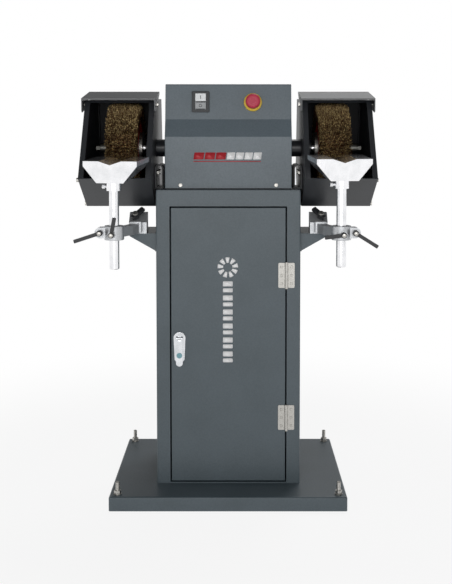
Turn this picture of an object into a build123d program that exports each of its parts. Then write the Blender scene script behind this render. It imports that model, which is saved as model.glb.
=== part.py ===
from build123d import *
import os
from math import cos, hypot, radians, sin

# A double-ended pedestal brush machine: a sheet-metal pedestal with a door, a head with a
# motor that drives two wide wire brushes, a guard with a tilting visor round each brush, and
# an adjustable work rest in front of each brush. Millimetres, +Z up, -Y is the operator's side.
# Sizes are set out from the middle of the base pan at floor level. export_node then moves every
# piece by FRAME_Y, so that the origin is under the middle of the whole machine.

# Sheet and base
SHEET = 2.0
BASE_WIDTH, BASE_DEPTH, BASE_HEIGHT, BASE_SHEET = 500.0, 370.0, 30.0, 3.0
STUD_X, STUD_Y, STUD_RADIUS = 233.0, 167.0, 4.0
STUD_TOP, PAD_RADIUS, PAD_HEIGHT = 57.0, 12.0, 12.0

# Cabinet and door
CABINET_HALF, CABINET_DEPTH, CABINET_TOP = 155.0, 212.0, 669.0
FRONT_Y = -CABINET_DEPTH / 2
DOORWAY_HALF, DOORWAY_BOTTOM, DOORWAY_TOP = 126.0, 32.0, 633.5
DOOR_GAP, RETURN_DEPTH = 3.0, 15.0
HINGE_HEIGHTS = (175.0, 485.0)
HINGE_WIDTH, HINGE_HEIGHT, HINGE_LEAF = 35.0, 54.0, 1.5
HINGE_X, HINGE_Y = 125.0, FRONT_Y - 3.8
KNUCKLE_RADIUS, PIN_RADIUS, FIT = 3.5, 2.0, 0.05
LOCK_X, LOCK_TOP, LOCK_TAPER_Z, LOCK_FOOT = -105.0, 363.0, 302.0, 297.5
LOCK_RADIUS, LOCK_TAPER_HALF, LOCK_FOOT_HALF = 13.2, 11.0, 7.5
CAM_Z, HANDLE_FOOT, HANDLE_HALF, BUTTON_Z, BUTTON_RADIUS = 350.0, 289.5, 7.25, 313.0, 6.0
LOCK_THICKNESS, HANDLE_THICKNESS, HANDLE_GAP = 5.0, 6.0, 0.4
CAM_RADIUS, CAM_REACH, BARREL_RADIUS, CAM_BACK_Y = 8.0, 27.0, 11.0, -86.0

# Head and controls
HEAD_HALF, HEAD_BOTTOM, HEAD_TOP, HEAD_BACK = 136.5, 671.5, 896.0, 78.0
HEAD_PROFILE = [
    (-92.0, HEAD_BOTTOM),
    (HEAD_BACK, HEAD_BOTTOM),
    (HEAD_BACK, HEAD_TOP),
    (-64.0, HEAD_TOP),
    (-75.0, 819.6),
    (-92.0, 782.0),
]
SWITCH_X, SWITCH_Z = -60.0, 857.5
ESTOP_X, ESTOP_Z = 53.0, 856.0

# Spindle and motor
AXIS_Y, AXIS_Z = -13.0, 757.0
MOTOR_RADIUS, MOTOR_HALF, MOTOR_WALL = 66.0, 95.0, 6.0
BEARING_X0, BEARING_X1 = 96.0, 110.0
BEARING_BORE, INNER_RING, OUTER_RING, BEARING_OUTER = 10.0, 14.2, 19.5, 23.5
TUBE_RADIUS, TUBE_BORE, TUBE_END = 19.25, 14.0, 184.0
BRUSH_X, BRUSH_RADIUS, CORE_RADIUS = 228.5, 100.0, 58.0
CORE_HALF, TIP_HALF = 31.5, 36.0
FLANGE_RADIUS, SPACER_RADIUS, SPACER_END, SHAFT_END = 35.0, 11.5, 285.0, 284.0

# Guards and visors, with the side outline given from the spindle axis (Y, Z)
GUARD_IN, GUARD_OUT = 160.5, 311.0
GUARD_OUTLINE = [
    (AXIS_Y + y, AXIS_Z + z)
    for y, z in ((-50, 104), (-152, -62), (-40, -127), (120, -127), (168, -46), (130, 114))
]
LIP_WIDTH, HEM_WIDTH, RIM_FLANGE = 9.0, 4.0, 12.0
PIVOT_Y, PIVOT_Z, PIVOT_RADIUS, PIVOT_HEX = -53.0, 852.0, 2.5, 8.0
VISOR_IN, VISOR_OUT, VISOR_FRONT_Y, VISOR_BACK_Y = 157.0, 316.0, -86.0, 25.0
VISOR_FRONT_Z, VISOR_BACK_Z, VISOR_LIP = 864.5, 884.0, 3.0
BRACKET_IN, BRACKET_TOP, BRACKET_FRONT, BRACKET_BACK = 142.5, 722.0, -60.0, 30.0
BOLT_YS, BOLT_Z, BOLT_RADIUS = (-35.0, 10.0), 703.0, 3.0
THUMB_Y, THUMB_Z = -146.0, 692.0

# Shelf, slide, arm, post and rest on each side
SHELF_OUT, SHELF_FRONT, SHELF_BACK, SHELF_TOP, SHELF_THICKNESS = 215.0, -93.0, 52.0, 574.0, 4.0
BAR_X, BAR_HALF, BAR_BOTTOM, BAR_TOP, BAR_BACK = 200.0, 8.0, 578.0, 596.0, 40.0
SADDLE_IN, SADDLE_OUT, SADDLE_FRONT, SADDLE_BACK, SADDLE_TOP = 176.0, 214.0, -95.0, -60.0, 618.0
SLANT, SADDLE_SCREW = 20.0, 13.4
POST_X, POST_Y, POST_RADIUS, POST_BOTTOM, POST_TOP = 231.0, -203.0, 10.0, 513.0, 705.0
RING_RADIUS, RING_BOTTOM, RING_TOP = 20.0, 573.0, 602.0
EAR_X, EAR_Z, EAR_RADIUS, EAR_HALF = 258.5, 588.0, 11.0, 11.0
FRONT_SCREW_X, FRONT_SCREW_Z, SCREW_RADIUS = 233.5, 585.0, 3.0
REST_WIDTH, REST_AHEAD, REST_BEHIND, REST_RISE, REST_CLIMB = 117.5, 21.0, 45.0, 28.0, 8.0
REST_BOTTOM, REST_TOP, BOSS_RADIUS, BOSS_BOTTOM = 689.0, 733.0, 15.25, 673.0
REST_EDGE, GROOVE_HALF, GROOVE_DEPTH, SET_SCREW_Z = 10.0, 25.0, 8.0, 681.0

# Each side: sign of X, toe of the rest, how far its post is raised, and the length and direction
# of the two arm levers (degrees from +X, seen by the operator)
SIDES = {
    "left": {"sign": -1, "toe": 16.0, "lift": 0.0, "ear": (54.0, 198.0), "front": (36.0, 79.0)},
    "right": {"sign": 1, "toe": 12.0, "lift": 4.5, "ear": (52.0, -32.0), "front": (39.0, 187.0)},
}
LEVER_HUB, LEVER_DEPTH, LEVER_GAP, REACH_LEVER_ANGLE = 6.0, 12.0, 1.0, 50.0
LEVER_FRONT_Y = POST_Y - RING_RADIUS - LEVER_GAP - LEVER_DEPTH - 1.5
LEFT_TOE = radians(SIDES["left"]["toe"])
REST_FRONT_Y = POST_Y - REST_AHEAD * cos(LEFT_TOE) - REST_WIDTH / 2 * sin(LEFT_TOE)
FRAME_Y = -(min(LEVER_FRONT_Y, REST_FRONT_Y) + BASE_DEPTH / 2) / 2


# ---------------------------------------------------------------- shapes used throughout
def block(x0, x1, y0, y1, z0, z1):
    """A box between two opposite corners."""
    middle = Pos((x0 + x1) / 2, (y0 + y1) / 2, (z0 + z1) / 2)
    return middle * Box(abs(x1 - x0), abs(y1 - y0), abs(z1 - z0))


def rod_x(radius, x0, x1, y, z):
    """A cylinder along X."""
    return Pos((x0 + x1) / 2, y, z) * Rot(0, 90, 0) * Cylinder(radius, abs(x1 - x0))


def rod_y(radius, y0, y1, x, z):
    """A cylinder along Y."""
    return Pos(x, (y0 + y1) / 2, z) * Rot(90, 0, 0) * Cylinder(radius, abs(y1 - y0))


def rod_z(radius, z0, z1, x, y):
    """A cylinder along Z."""
    return Pos(x, y, (z0 + z1) / 2) * Cylinder(radius, abs(z1 - z0))


def hexagon(across_flats, height):
    """A hexagonal prism standing on the XY plane."""
    return extrude(RegularPolygon(across_flats / 2, 6, major_radius=False), height)


def prism_x(outline, x0, x1):
    """A (Y, Z) polygon, or a flat shape drawn in (Y, Z), carried along X."""
    shape = outline if isinstance(outline, Sketch) else Polygon(*outline, align=None)
    plane = Plane(origin=(min(x0, x1), 0, 0), x_dir=(0, 1, 0), z_dir=(1, 0, 0))
    return extrude(plane.location * shape, abs(x1 - x0), dir=(1, 0, 0))


def prism_y(outline, y0, y1):
    """An (X, Z) polygon carried along Y."""
    plane = Plane(origin=(0, max(y0, y1), 0), x_dir=(1, 0, 0), z_dir=(0, -1, 0))
    return extrude(plane.location * Polygon(*outline, align=None), abs(y1 - y0), dir=(0, -1, 0))


def inset(points, distance):
    """The corners of a convex, anticlockwise outline moved inwards by a distance."""
    count = len(points)
    normals = []
    for i in range(count):
        (ay, az), (by, bz) = points[i], points[(i + 1) % count]
        length = hypot(by - ay, bz - az)
        normals.append(((az - bz) / length, (by - ay) / length))
    moved = []
    for i in range(count):
        before, after = normals[i - 1], normals[i]
        share = distance / (1 + before[0] * after[0] + before[1] * after[1])
        y, z = points[i]
        moved.append((y + share * (before[0] + after[0]), z + share * (before[1] + after[1])))
    return moved


def rounded(points, radius, chosen=None):
    """A flat shape with its corners, or the chosen ones, rounded."""
    shape = Polygon(*points, align=None)
    corners = shape.vertices()
    if chosen is not None:
        wanted = [Vector(*points[i]) for i in chosen]
        corners = [v for v in corners if min((Vector(*v) - w).length for w in wanted) < 0.01]
    return fillet(corners, radius)


def both_sides(make):
    """The same piece made for the left and the right side, in one node."""
    return [make(-1), make(1)]


def export_node(name, pieces):
    """Write one node: its pieces as separate solids, moved to the machine's frame."""
    solids = []
    for piece in pieces if isinstance(pieces, list) else [pieces]:
        solids.extend(piece.solids())
    node = Pos(0, FRAME_Y, 0) * Compound(children=solids)
    export_step(node, f"parts/{name}.step")


# ---------------------------------------------------------------- base
def base_pan():
    """An upside-down tray with rounded corners and a clearance hole at each stud."""
    half_x, half_y = BASE_WIDTH / 2, BASE_DEPTH / 2
    outer = block(-half_x, half_x, -half_y, half_y, 0, BASE_HEIGHT)
    outer = fillet(outer.edges().filter_by(Axis.Z) + outer.edges().group_by(Axis.Z)[-1], 4)
    inner_x, inner_y = half_x - BASE_SHEET, half_y - BASE_SHEET
    pan = outer - block(-inner_x, inner_x, -inner_y, inner_y, -1, BASE_HEIGHT - BASE_SHEET)
    for x, y in stud_places():
        pan -= rod_z(STUD_RADIUS + 0.3, 0, BASE_HEIGHT + 1, x, y)
    return pan


def stud_places():
    """The four corners where the machine is levelled."""
    return [(sx * STUD_X, sy * STUD_Y) for sx in (-1, 1) for sy in (-1, 1)]


def foot_pads():
    """Round rubber pads under the studs."""
    return [fillet(rod_z(PAD_RADIUS, 0, PAD_HEIGHT, x, y).edges(), 1.5) for x, y in stud_places()]


def foot_studs():
    """Levelling studs, each with a lock nut under the pan, and a washer and nut on top."""
    pieces = []
    for x, y in stud_places():
        stud = rod_z(STUD_RADIUS, PAD_HEIGHT, STUD_TOP, x, y)
        stud = chamfer(stud.edges().group_by(Axis.Z)[-1], 1)
        under = Pos(x, y, BASE_HEIGHT - BASE_SHEET - 7) * hexagon(13, 7)
        washer = rod_z(8.5, BASE_HEIGHT, BASE_HEIGHT + 1.6, x, y)
        top = Pos(x, y, BASE_HEIGHT + 1.6) * Rot(0, 0, 12) * hexagon(13, 6.5)
        pieces.append(stud + under + washer + top)
    return pieces


# ---------------------------------------------------------------- cabinet
def cabinet_shell():
    """The folded cabinet: sides, top, front frame round the doorway and rear frame."""
    half, top = CABINET_HALF, CABINET_TOP
    outer = block(-half, half, FRONT_Y, -FRONT_Y, BASE_HEIGHT, top)
    outer = fillet(outer.edges().filter_by(Axis.Z), 3)
    outer = fillet(outer.edges().group_by(Axis.Z)[-1], 1.5)
    inside = half - SHEET
    shell = outer - block(-inside, inside, FRONT_Y + SHEET, -FRONT_Y - SHEET, BASE_HEIGHT, top - SHEET)
    doorway = block(-DOORWAY_HALF, DOORWAY_HALF, FRONT_Y - 1, 0, DOORWAY_BOTTOM, DOORWAY_TOP)
    shell -= doorway
    shell -= block(-135, 135, 0, -FRONT_Y + 1, 50, 649)
    return_end = FRONT_Y + RETURN_DEPTH
    for s in (-1, 1):
        shell += block(
            s * DOORWAY_HALF, s * (DOORWAY_HALF + SHEET), FRONT_Y + 1, return_end,
            BASE_HEIGHT, DOORWAY_TOP + SHEET,
        )
        shell += block(s * 135, s * (half - 1), FRONT_Y + 20, 90, BASE_HEIGHT, DOORWAY_BOTTOM)
    reach = DOORWAY_HALF + SHEET
    shell += block(-reach, reach, FRONT_Y + 1, return_end, DOORWAY_TOP, DOORWAY_TOP + SHEET)
    shell += block(-half + 2, half - 2, FRONT_Y, return_end, BASE_HEIGHT, DOORWAY_BOTTOM)
    return shell


def cabinet_rear_panel():
    """A flat service panel lapped over the rear frame, with two rows of louvre slots."""
    panel = block(-148, 148, -FRONT_Y, -FRONT_Y + SHEET, 40, 660)
    for row in range(6):
        for column in (-1, 1):
            z = 500 + row * 16
            panel -= block(column * 55 - 32, column * 55 + 32, 100, 120, z, z + 4)
    panel -= rod_y(8.1, 100, 120, 105, 110)
    return panel


def hinge_plate(side, height):
    """A hinge leaf without its knuckles: side -1 lies on the door, +1 on the frame."""
    x0 = HINGE_X + side * 3.7
    x1 = HINGE_X + side * HINGE_WIDTH / 2
    z0, z1 = height - HINGE_HEIGHT / 2, height + HINGE_HEIGHT / 2
    leaf = block(x0, x1, FRONT_Y - HINGE_LEAF, FRONT_Y, z0, z1)
    outer_edges = leaf.edges().filter_by(Axis.Y).sort_by(Axis.X)
    return fillet(outer_edges[:2] if side < 0 else outer_edges[-2:], 2.5)


def knuckle(side, z0, z1):
    """One hinge knuckle with the tongue that joins it to its leaf."""
    tongue = block(HINGE_X, HINGE_X + side * 4.2, FRONT_Y - HINGE_LEAF, FRONT_Y - 0.3, z0, z1)
    body = rod_z(KNUCKLE_RADIUS, z0, z1, HINGE_X, HINGE_Y) + tongue
    return body - rod_z(PIN_RADIUS + FIT, z0 - 1, z1 + 1, HINGE_X, HINGE_Y)


def hinge_leaves(side):
    """Both leaves on one side: the door has the middle knuckle, the frame the outer two."""
    third = HINGE_HEIGHT / 3
    leaves = []
    for height in HINGE_HEIGHTS:
        leaf = hinge_plate(side, height)
        spans = [(-third / 2 + 0.15, third / 2 - 0.15)]
        if side > 0:
            spans = [(-1.5 * third, -third / 2 - 0.15), (third / 2 + 0.15, 1.5 * third)]
        for low, high in spans:
            leaf += knuckle(side, height + low, height + high)
        for screw_z in hinge_screw_heights(height):
            leaf -= rod_y(2.0, FRONT_Y - 5, FRONT_Y + 5, HINGE_X + side * 10.6, screw_z)
        leaves.append(leaf)
    return leaves


def hinge_screw_heights(height):
    """The three screws of a leaf."""
    return [height - 18, height, height + 18]


def hinge_pins():
    """Pins with a thin cap at each end."""
    pins = []
    for height in HINGE_HEIGHTS:
        z0, z1 = height - HINGE_HEIGHT / 2, height + HINGE_HEIGHT / 2
        pin = rod_z(PIN_RADIUS, z0 - 1, z1 + 1, HINGE_X, HINGE_Y)
        for low in (z0 - 1.6, z1):
            pin += rod_z(KNUCKLE_RADIUS - 0.3, low, low + 1.6, HINGE_X, HINGE_Y)
        pins.append(pin)
    return pins


def pan_screw_y(x, z, face_y, radius=3.0, shank=1.9, depth=4.0):
    """A low pan-head screw driven along +Y into a face, with a cross recess."""
    head = rod_y(radius, face_y - 1.2, face_y, x, z)
    head = fillet(head.edges().group_by(Axis.Y)[0], 0.9)
    for width, height in ((0.4, radius * 0.55), (radius * 0.55, 0.4)):
        head -= block(x - width, x + width, face_y - 2, face_y - 0.6, z - height, z + height)
    return head + rod_y(shank, face_y - 0.5, face_y + depth, x, z)


def hinge_door_screws():
    """The screws of the door's leaves."""
    return [
        pan_screw_y(HINGE_X - 10.6, z, FRONT_Y - HINGE_LEAF, depth=HINGE_LEAF)
        for height in HINGE_HEIGHTS
        for z in hinge_screw_heights(height)
    ]


def pan_screw_back(x, z, face_y):
    """A pan-head screw driven along -Y into a rear face."""
    head = rod_y(4.0, face_y, face_y + 2.2, x, z)
    return fillet(head.edges().group_by(Axis.Y)[-1], 1.2)


def machine_screws():
    """Fixed screws: frame hinge leaves, head front, rear panels and guard side covers."""
    screws = [
        pan_screw_y(HINGE_X + 10.6, z, FRONT_Y - HINGE_LEAF, depth=HINGE_LEAF)
        for height in HINGE_HEIGHTS
        for z in hinge_screw_heights(height)
    ]
    for s in (-1, 1):
        screws.append(pan_screw_y(s * 103, 678, HEAD_PROFILE[0][0], 4.4, 1.9, 0))
        for z in (60, 350, 640):
            screws.append(pan_screw_back(s * 141, z, -FRONT_Y + SHEET))
        for z in (684, 882):
            screws.append(pan_screw_back(s * 122, z, HEAD_BACK + SHEET))
        for y, z in inset(GUARD_OUTLINE, 7.0)[2:]:
            bolt = Pos(s * GUARD_OUT, y, z) * Rot(0, s * 90, 0) * hexagon(10, 4)
            screws.append(bolt)
    return screws


def door_panel():
    """A shallow folded door with returned edges and a hole for the lock barrel."""
    half = DOORWAY_HALF - DOOR_GAP
    z0, z1 = DOORWAY_BOTTOM + DOOR_GAP, DOORWAY_TOP - DOOR_GAP
    panel = block(-half, half, FRONT_Y, FRONT_Y + RETURN_DEPTH, z0, z1)
    panel = fillet(panel.edges().group_by(Axis.Y)[0], 1.2)
    panel -= block(
        -half + SHEET, half - SHEET, FRONT_Y + SHEET, FRONT_Y + RETURN_DEPTH + 1, z0 + SHEET, z1 - SHEET
    )
    return panel - rod_y(BARREL_RADIUS, FRONT_Y - 1, FRONT_Y + 5, LOCK_X, CAM_Z)


# ---------------------------------------------------------------- door lock
def lock_outline():
    """The lock plate seen from the front: a round top, a straight taper and a cropped foot."""
    top = Pos(LOCK_X, LOCK_TOP - LOCK_RADIUS) * Circle(LOCK_RADIUS)
    foot = Polygon(
        (LOCK_X - LOCK_FOOT_HALF, LOCK_FOOT), (LOCK_X + LOCK_FOOT_HALF, LOCK_FOOT),
        (LOCK_X + LOCK_TAPER_HALF, LOCK_TAPER_Z), (LOCK_X - LOCK_TAPER_HALF, LOCK_TAPER_Z), align=None,
    )
    return make_hull(top.edges() + foot.edges())


def raise_outline(shape, y0, y1):
    """A flat shape drawn in (X, Z) carried from y1 forward to y0."""
    plane = Plane(origin=(0, y1, 0), x_dir=(1, 0, 0), z_dir=(0, -1, 0))
    return extrude(plane.location * shape, y1 - y0, dir=(0, -1, 0))


def lock_body():
    """The lock's plate on the door, its barrel through the door and a nut behind."""
    face = FRONT_Y - LOCK_THICKNESS
    plate = raise_outline(lock_outline(), face, FRONT_Y)
    plate = fillet(plate.edges().group_by(Axis.Y)[0], 1.5)
    barrel = rod_y(BARREL_RADIUS, FRONT_Y - 1, CAM_BACK_Y - 3, LOCK_X, CAM_Z)
    nut_plane = Plane(origin=(LOCK_X, FRONT_Y + SHEET, CAM_Z), z_dir=(0, 1, 0))
    body = plate + barrel + nut_plane.location * hexagon(28, 5)
    return body - rod_y(CAM_RADIUS + FIT, face - 1, CAM_BACK_Y, LOCK_X, CAM_Z)


def lock_cam():
    """The turning core: a shaft with the handle's lug and pin in front and the cam behind."""
    front = FRONT_Y - LOCK_THICKNESS
    shaft = rod_y(CAM_RADIUS, front, CAM_BACK_Y, LOCK_X, CAM_Z)
    pin_y = handle_pin_y()
    lug = block(LOCK_X - 3, LOCK_X + 3, pin_y, front + 1, CAM_Z - 2.6, CAM_Z + 2.6)
    lug += rod_x(2.6, LOCK_X - 3, LOCK_X + 3, pin_y, CAM_Z)
    pin = rod_x(1.5, LOCK_X - 7, LOCK_X + 7, pin_y, CAM_Z)
    sides = (LOCK_X - CAM_RADIUS, LOCK_X + CAM_RADIUS)
    cam = block(*sides, CAM_BACK_Y - SHEET, CAM_BACK_Y, CAM_Z - CAM_REACH, CAM_Z)
    cam += rod_y(CAM_RADIUS, CAM_BACK_Y - SHEET, CAM_BACK_Y, LOCK_X, CAM_Z - CAM_REACH)
    return shaft + lug + pin + cam


def handle_pin_y():
    """The lift pin runs through the middle of the handle's thickness."""
    return FRONT_Y - LOCK_THICKNESS - HANDLE_GAP - HANDLE_THICKNESS / 2


def lock_handle():
    """The swing handle: lies over the plate, lifts about its pin and then turns the cam."""
    back = FRONT_Y - LOCK_THICKNESS - HANDLE_GAP
    front, half = back - HANDLE_THICKNESS, HANDLE_THICKNESS / 2
    sides = (LOCK_X - HANDLE_HALF, LOCK_X + HANDLE_HALF)
    bar = block(*sides, front, back, HANDLE_FOOT, CAM_Z)
    bar = fillet(bar.edges().filter_by(Axis.Y).group_by(Axis.Z)[0], 7.0)
    bar += rod_x(half, *sides, handle_pin_y(), CAM_Z)
    bar -= block(LOCK_X - 3.3, LOCK_X + 3.3, front - 1, back + 1, CAM_Z - 6, CAM_Z + 4)
    bar -= rod_x(1.5 + FIT, LOCK_X - 8, LOCK_X + 8, handle_pin_y(), CAM_Z)
    return bar - rod_y(BUTTON_RADIUS, front - 1, front + 2, LOCK_X, BUTTON_Z)


def lock_button():
    """The round coloured insert in the handle."""
    front = FRONT_Y - LOCK_THICKNESS - HANDLE_GAP - HANDLE_THICKNESS
    button = rod_y(BUTTON_RADIUS, front - 1.2, front + 2, LOCK_X, BUTTON_Z)
    return fillet(button.edges().group_by(Axis.Y)[0], 0.8)


# ---------------------------------------------------------------- head
def head_cover():
    """The folded head: front, band, leaning control panel, top and both sides."""
    outer = prism_x(rounded(HEAD_PROFILE, 3, (2, 3, 4, 5)), -HEAD_HALF, HEAD_HALF)
    side_edges = [e for e in outer.edges() if abs(abs(e.center().X) - HEAD_HALF) < 0.01]
    kept = [e for e in side_edges if e.center().Z > HEAD_BOTTOM + 1 and e.center().Y < HEAD_BACK - 1]
    outer = fillet(kept, 1.5)
    inner_profile = inset(HEAD_PROFILE, SHEET)
    hollow = HEAD_HALF - SHEET
    cover = outer - prism_x(inner_profile, -hollow, hollow)
    cover -= block(-hollow + 10, hollow - 10, -80, 66, HEAD_BOTTOM - 1, HEAD_BOTTOM + 5)
    cover -= block(-hollow + 10, hollow - 10, HEAD_BACK - 5, HEAD_BACK + 1, HEAD_BOTTOM + 12, HEAD_TOP - 12)
    for s in (-1, 1):
        cover -= rod_x(TUBE_RADIUS + 0.75, s * (HEAD_HALF - 5), s * (HEAD_HALF + 5), AXIS_Y, AXIS_Z)
    switch, estop = panel_place(SWITCH_X, SWITCH_Z), panel_place(ESTOP_X, ESTOP_Z)
    cover -= switch * Box(28, 40, 20)
    return cover - estop * Cylinder(11.2, 20)


def panel_y(z):
    """Y of the leaning control panel's face at a height."""
    (top_y, top_z), (low_y, low_z) = HEAD_PROFILE[3], HEAD_PROFILE[4]
    return low_y + (top_y - low_y) * (z - low_z) / (top_z - low_z)


def panel_place(x, z):
    """A place on the control panel, with local Z out of the face and local Y up it."""
    (top_y, top_z), (low_y, low_z) = HEAD_PROFILE[3], HEAD_PROFILE[4]
    normal = Vector(0, low_z - top_z, top_y - low_y).normalized()
    return Plane(origin=(x, panel_y(z), z), x_dir=(1, 0, 0), z_dir=normal).location


def head_rear_panel():
    """The head's rear plate with cooling slots."""
    panel = block(-132, 132, HEAD_BACK, HEAD_BACK + SHEET, 676, 890)
    for row in range(7):
        z = 716 + row * 14
        for column in (-1, 1):
            panel -= block(column * 50 - 32, column * 50 + 32, HEAD_BACK - 1, HEAD_BACK + 4, z, z + 4)
    return panel


def head_gasket():
    """A rubber strip between the cabinet top and the head."""
    outside = block(-HEAD_HALF + 2, HEAD_HALF - 2, -90, HEAD_BACK - 2, CABINET_TOP, HEAD_BOTTOM)
    return outside - block(-HEAD_HALF + 12, HEAD_HALF - 12, -79, 65, CABINET_TOP - 1, HEAD_BOTTOM + 1)


def switch_bezel():
    """The frame and body of the start and stop switch."""
    frame = Pos(0, 0, 2) * Box(38, 46, 4)
    frame = fillet(frame.edges().filter_by(Axis.Z), 3)
    frame = fillet(frame.edges().group_by(Axis.Z)[-1], 1.2)
    body = Pos(0, 0, -15) * Box(27.6, 39.6, 30)
    pocket = Pos(0, 0, 0) * Box(24, 36.4, 16)
    return panel_place(SWITCH_X, SWITCH_Z) * (frame + body - pocket)


def switch_button(y0, y1, proud):
    """A rectangular push button in the switch frame, between two local heights."""
    button = Pos(0, (y0 + y1) / 2, (proud - 4) / 2) * Box(23, y1 - y0, proud + 4)
    button = fillet(button.edges().group_by(Axis.Z)[-1], 0.8)
    return panel_place(SWITCH_X, SWITCH_Z) * button


def estop_collar():
    """The yellow collar of the emergency stop, with its threaded body behind the panel."""
    ring = Pos(0, 0, 3.5) * Cylinder(19.5, 7)
    ring = fillet(ring.edges().group_by(Axis.Z)[-1], 2.5)
    body = Pos(0, 0, -15) * Cylinder(11, 30)
    bore = Pos(0, 0, -6) * Cylinder(8.1, 30)
    return panel_place(ESTOP_X, ESTOP_Z) * (ring + body - bore)


def estop_stem():
    """The sliding stem that carries the mushroom."""
    stem = Pos(0, 0, 0) * Cylinder(8, 24) + Pos(0, 0, 16) * Cylinder(5, 8)
    return panel_place(ESTOP_X, ESTOP_Z) * stem


def estop_head():
    """The red mushroom: a domed cap with a hub on the stem's nose."""
    cap = Pos(0, 0, 19) * Cylinder(15.8, 12)
    cap = fillet(cap.edges().group_by(Axis.Z)[-1], 6)
    cap = fillet(cap.edges().group_by(Axis.Z)[0], 1.5)
    return panel_place(ESTOP_X, ESTOP_Z) * (cap - Pos(0, 0, 15) * Cylinder(5 + FIT, 10.4))


def cable_gland():
    """A hexagonal cable gland in the cabinet's rear panel."""
    plane = Plane(origin=(105, -FRONT_Y + SHEET, 110), z_dir=(0, 1, 0))
    body = hexagon(24, 6) + Pos(0, 0, 12) * Cylinder(10, 12) + Pos(0, 0, -4) * Cylinder(8, 12)
    lock_nut = Pos(0, 0, -SHEET - 6) * hexagon(24, 4)
    return plane.location * (body + lock_nut - Pos(0, 0, 4) * Cylinder(4.5, 32))


# ---------------------------------------------------------------- motor
def motor_housing():
    """A finned motor shell on a foot that stands on the cabinet's top."""
    shell = rod_x(MOTOR_RADIUS - 4, -MOTOR_HALF, MOTOR_HALF, AXIS_Y, AXIS_Z)
    fin = block(-MOTOR_HALF + 8, MOTOR_HALF - 8, -1.2, 1.2, MOTOR_RADIUS - 8, MOTOR_RADIUS)
    for step in range(30):
        shell += Pos(0, AXIS_Y, AXIS_Z) * Rot(step * 12, 0, 0) * fin
    for s in (-1, 1):
        shell += block(s * 40, s * 70, AXIS_Y - 42, AXIS_Y + 42, CABINET_TOP + 5, AXIS_Z - 30)
    shell += block(-80, 80, AXIS_Y - 62, AXIS_Y + 62, CABINET_TOP, CABINET_TOP + 6)
    return shell - rod_x(MOTOR_RADIUS - MOTOR_WALL, -MOTOR_HALF - 1, MOTOR_HALF + 1, AXIS_Y, AXIS_Z)


def motor_stator():
    """The wound stator as a plain ring inside the shell."""
    ring = rod_x(MOTOR_RADIUS - MOTOR_WALL, -50, 50, AXIS_Y, AXIS_Z)
    return ring - rod_x(37, -51, 51, AXIS_Y, AXIS_Z)


def motor_end_shield(s):
    """An end shield with a bearing seat and the tube that leads the shaft to its brush."""
    shield = rod_x(MOTOR_RADIUS, s * MOTOR_HALF, s * (BEARING_X1 + 2), AXIS_Y, AXIS_Z)
    shield = fillet(shield.edges().group_by(Axis.X)[-1 if s > 0 else 0], 5)
    tube = rod_x(TUBE_RADIUS, s * BEARING_X1, s * TUBE_END, AXIS_Y, AXIS_Z)
    tube = fillet(tube.edges().group_by(Axis.X)[-1 if s > 0 else 0], 1.5)
    shield += tube
    shield -= rod_x(BEARING_OUTER, s * BEARING_X0, s * BEARING_X1, AXIS_Y, AXIS_Z)
    return shield - rod_x(TUBE_BORE, s * (MOTOR_HALF - 1), s * (TUBE_END + 1), AXIS_Y, AXIS_Z)


def ring_x(s, x0, x1, inner, outer):
    """A plain ring on the spindle axis."""
    ring = rod_x(outer, s * x0, s * x1, AXIS_Y, AXIS_Z)
    return ring - rod_x(inner, s * (x0 - 1), s * (x1 + 1), AXIS_Y, AXIS_Z)


def motor_rotor():
    """The rotor stack on the shaft."""
    rotor = rod_x(36, -46, 46, AXIS_Y, AXIS_Z)
    return rotor - rod_x(12, -47, 47, AXIS_Y, AXIS_Z)


def spindle_shaft():
    """One shaft through the motor, stepped for the bearings and tapped at both ends."""
    shaft = rod_x(12, -94, 94, AXIS_Y, AXIS_Z) + rod_x(BEARING_BORE, -SHAFT_END, SHAFT_END, AXIS_Y, AXIS_Z)
    for s in (-1, 1):
        shaft -= rod_x(4, s * (SHAFT_END - 26), s * (SHAFT_END + 1), AXIS_Y, AXIS_Z)
    return shaft


# ---------------------------------------------------------------- brushes
def brush_core(s):
    """The moulded hub of a brush, with a dished rim on both faces."""
    core = ring_x(s, BRUSH_X - CORE_HALF, BRUSH_X + CORE_HALF, BEARING_BORE, CORE_RADIUS)
    for face in (-1, 1):
        x = BRUSH_X + face * CORE_HALF
        core -= ring_x(s, min(x, x - face * 4), max(x, x - face * 4), FLANGE_RADIUS + 3, CORE_RADIUS - 5)
    return core


def brush_fill(s):
    """The wire fill: a ring that flares from the hub to its tips."""
    flare = [
        (CORE_RADIUS, -CORE_HALF), (CORE_RADIUS, CORE_HALF), (BRUSH_RADIUS - 30, TIP_HALF - 3),
        (BRUSH_RADIUS - 4, TIP_HALF), (BRUSH_RADIUS, TIP_HALF - 5), (BRUSH_RADIUS, -TIP_HALF + 5),
        (BRUSH_RADIUS - 4, -TIP_HALF), (BRUSH_RADIUS - 30, -TIP_HALF + 3),
    ]
    ring = revolve(Plane.XZ.location * Polygon(*flare, align=None), Axis.Z)
    return Pos(s * BRUSH_X, AXIS_Y, AXIS_Z) * Rot(0, 90, 0) * ring


def brush_flanges():
    """Clamping flanges on both faces of each brush."""
    inner_face, outer_face = BRUSH_X - CORE_HALF, BRUSH_X + CORE_HALF
    return [
        ring_x(s, x0, x1, BEARING_BORE, FLANGE_RADIUS)
        for s in (-1, 1)
        for x0, x1 in ((inner_face - 7, inner_face), (outer_face, outer_face + 4))
    ]


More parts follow.
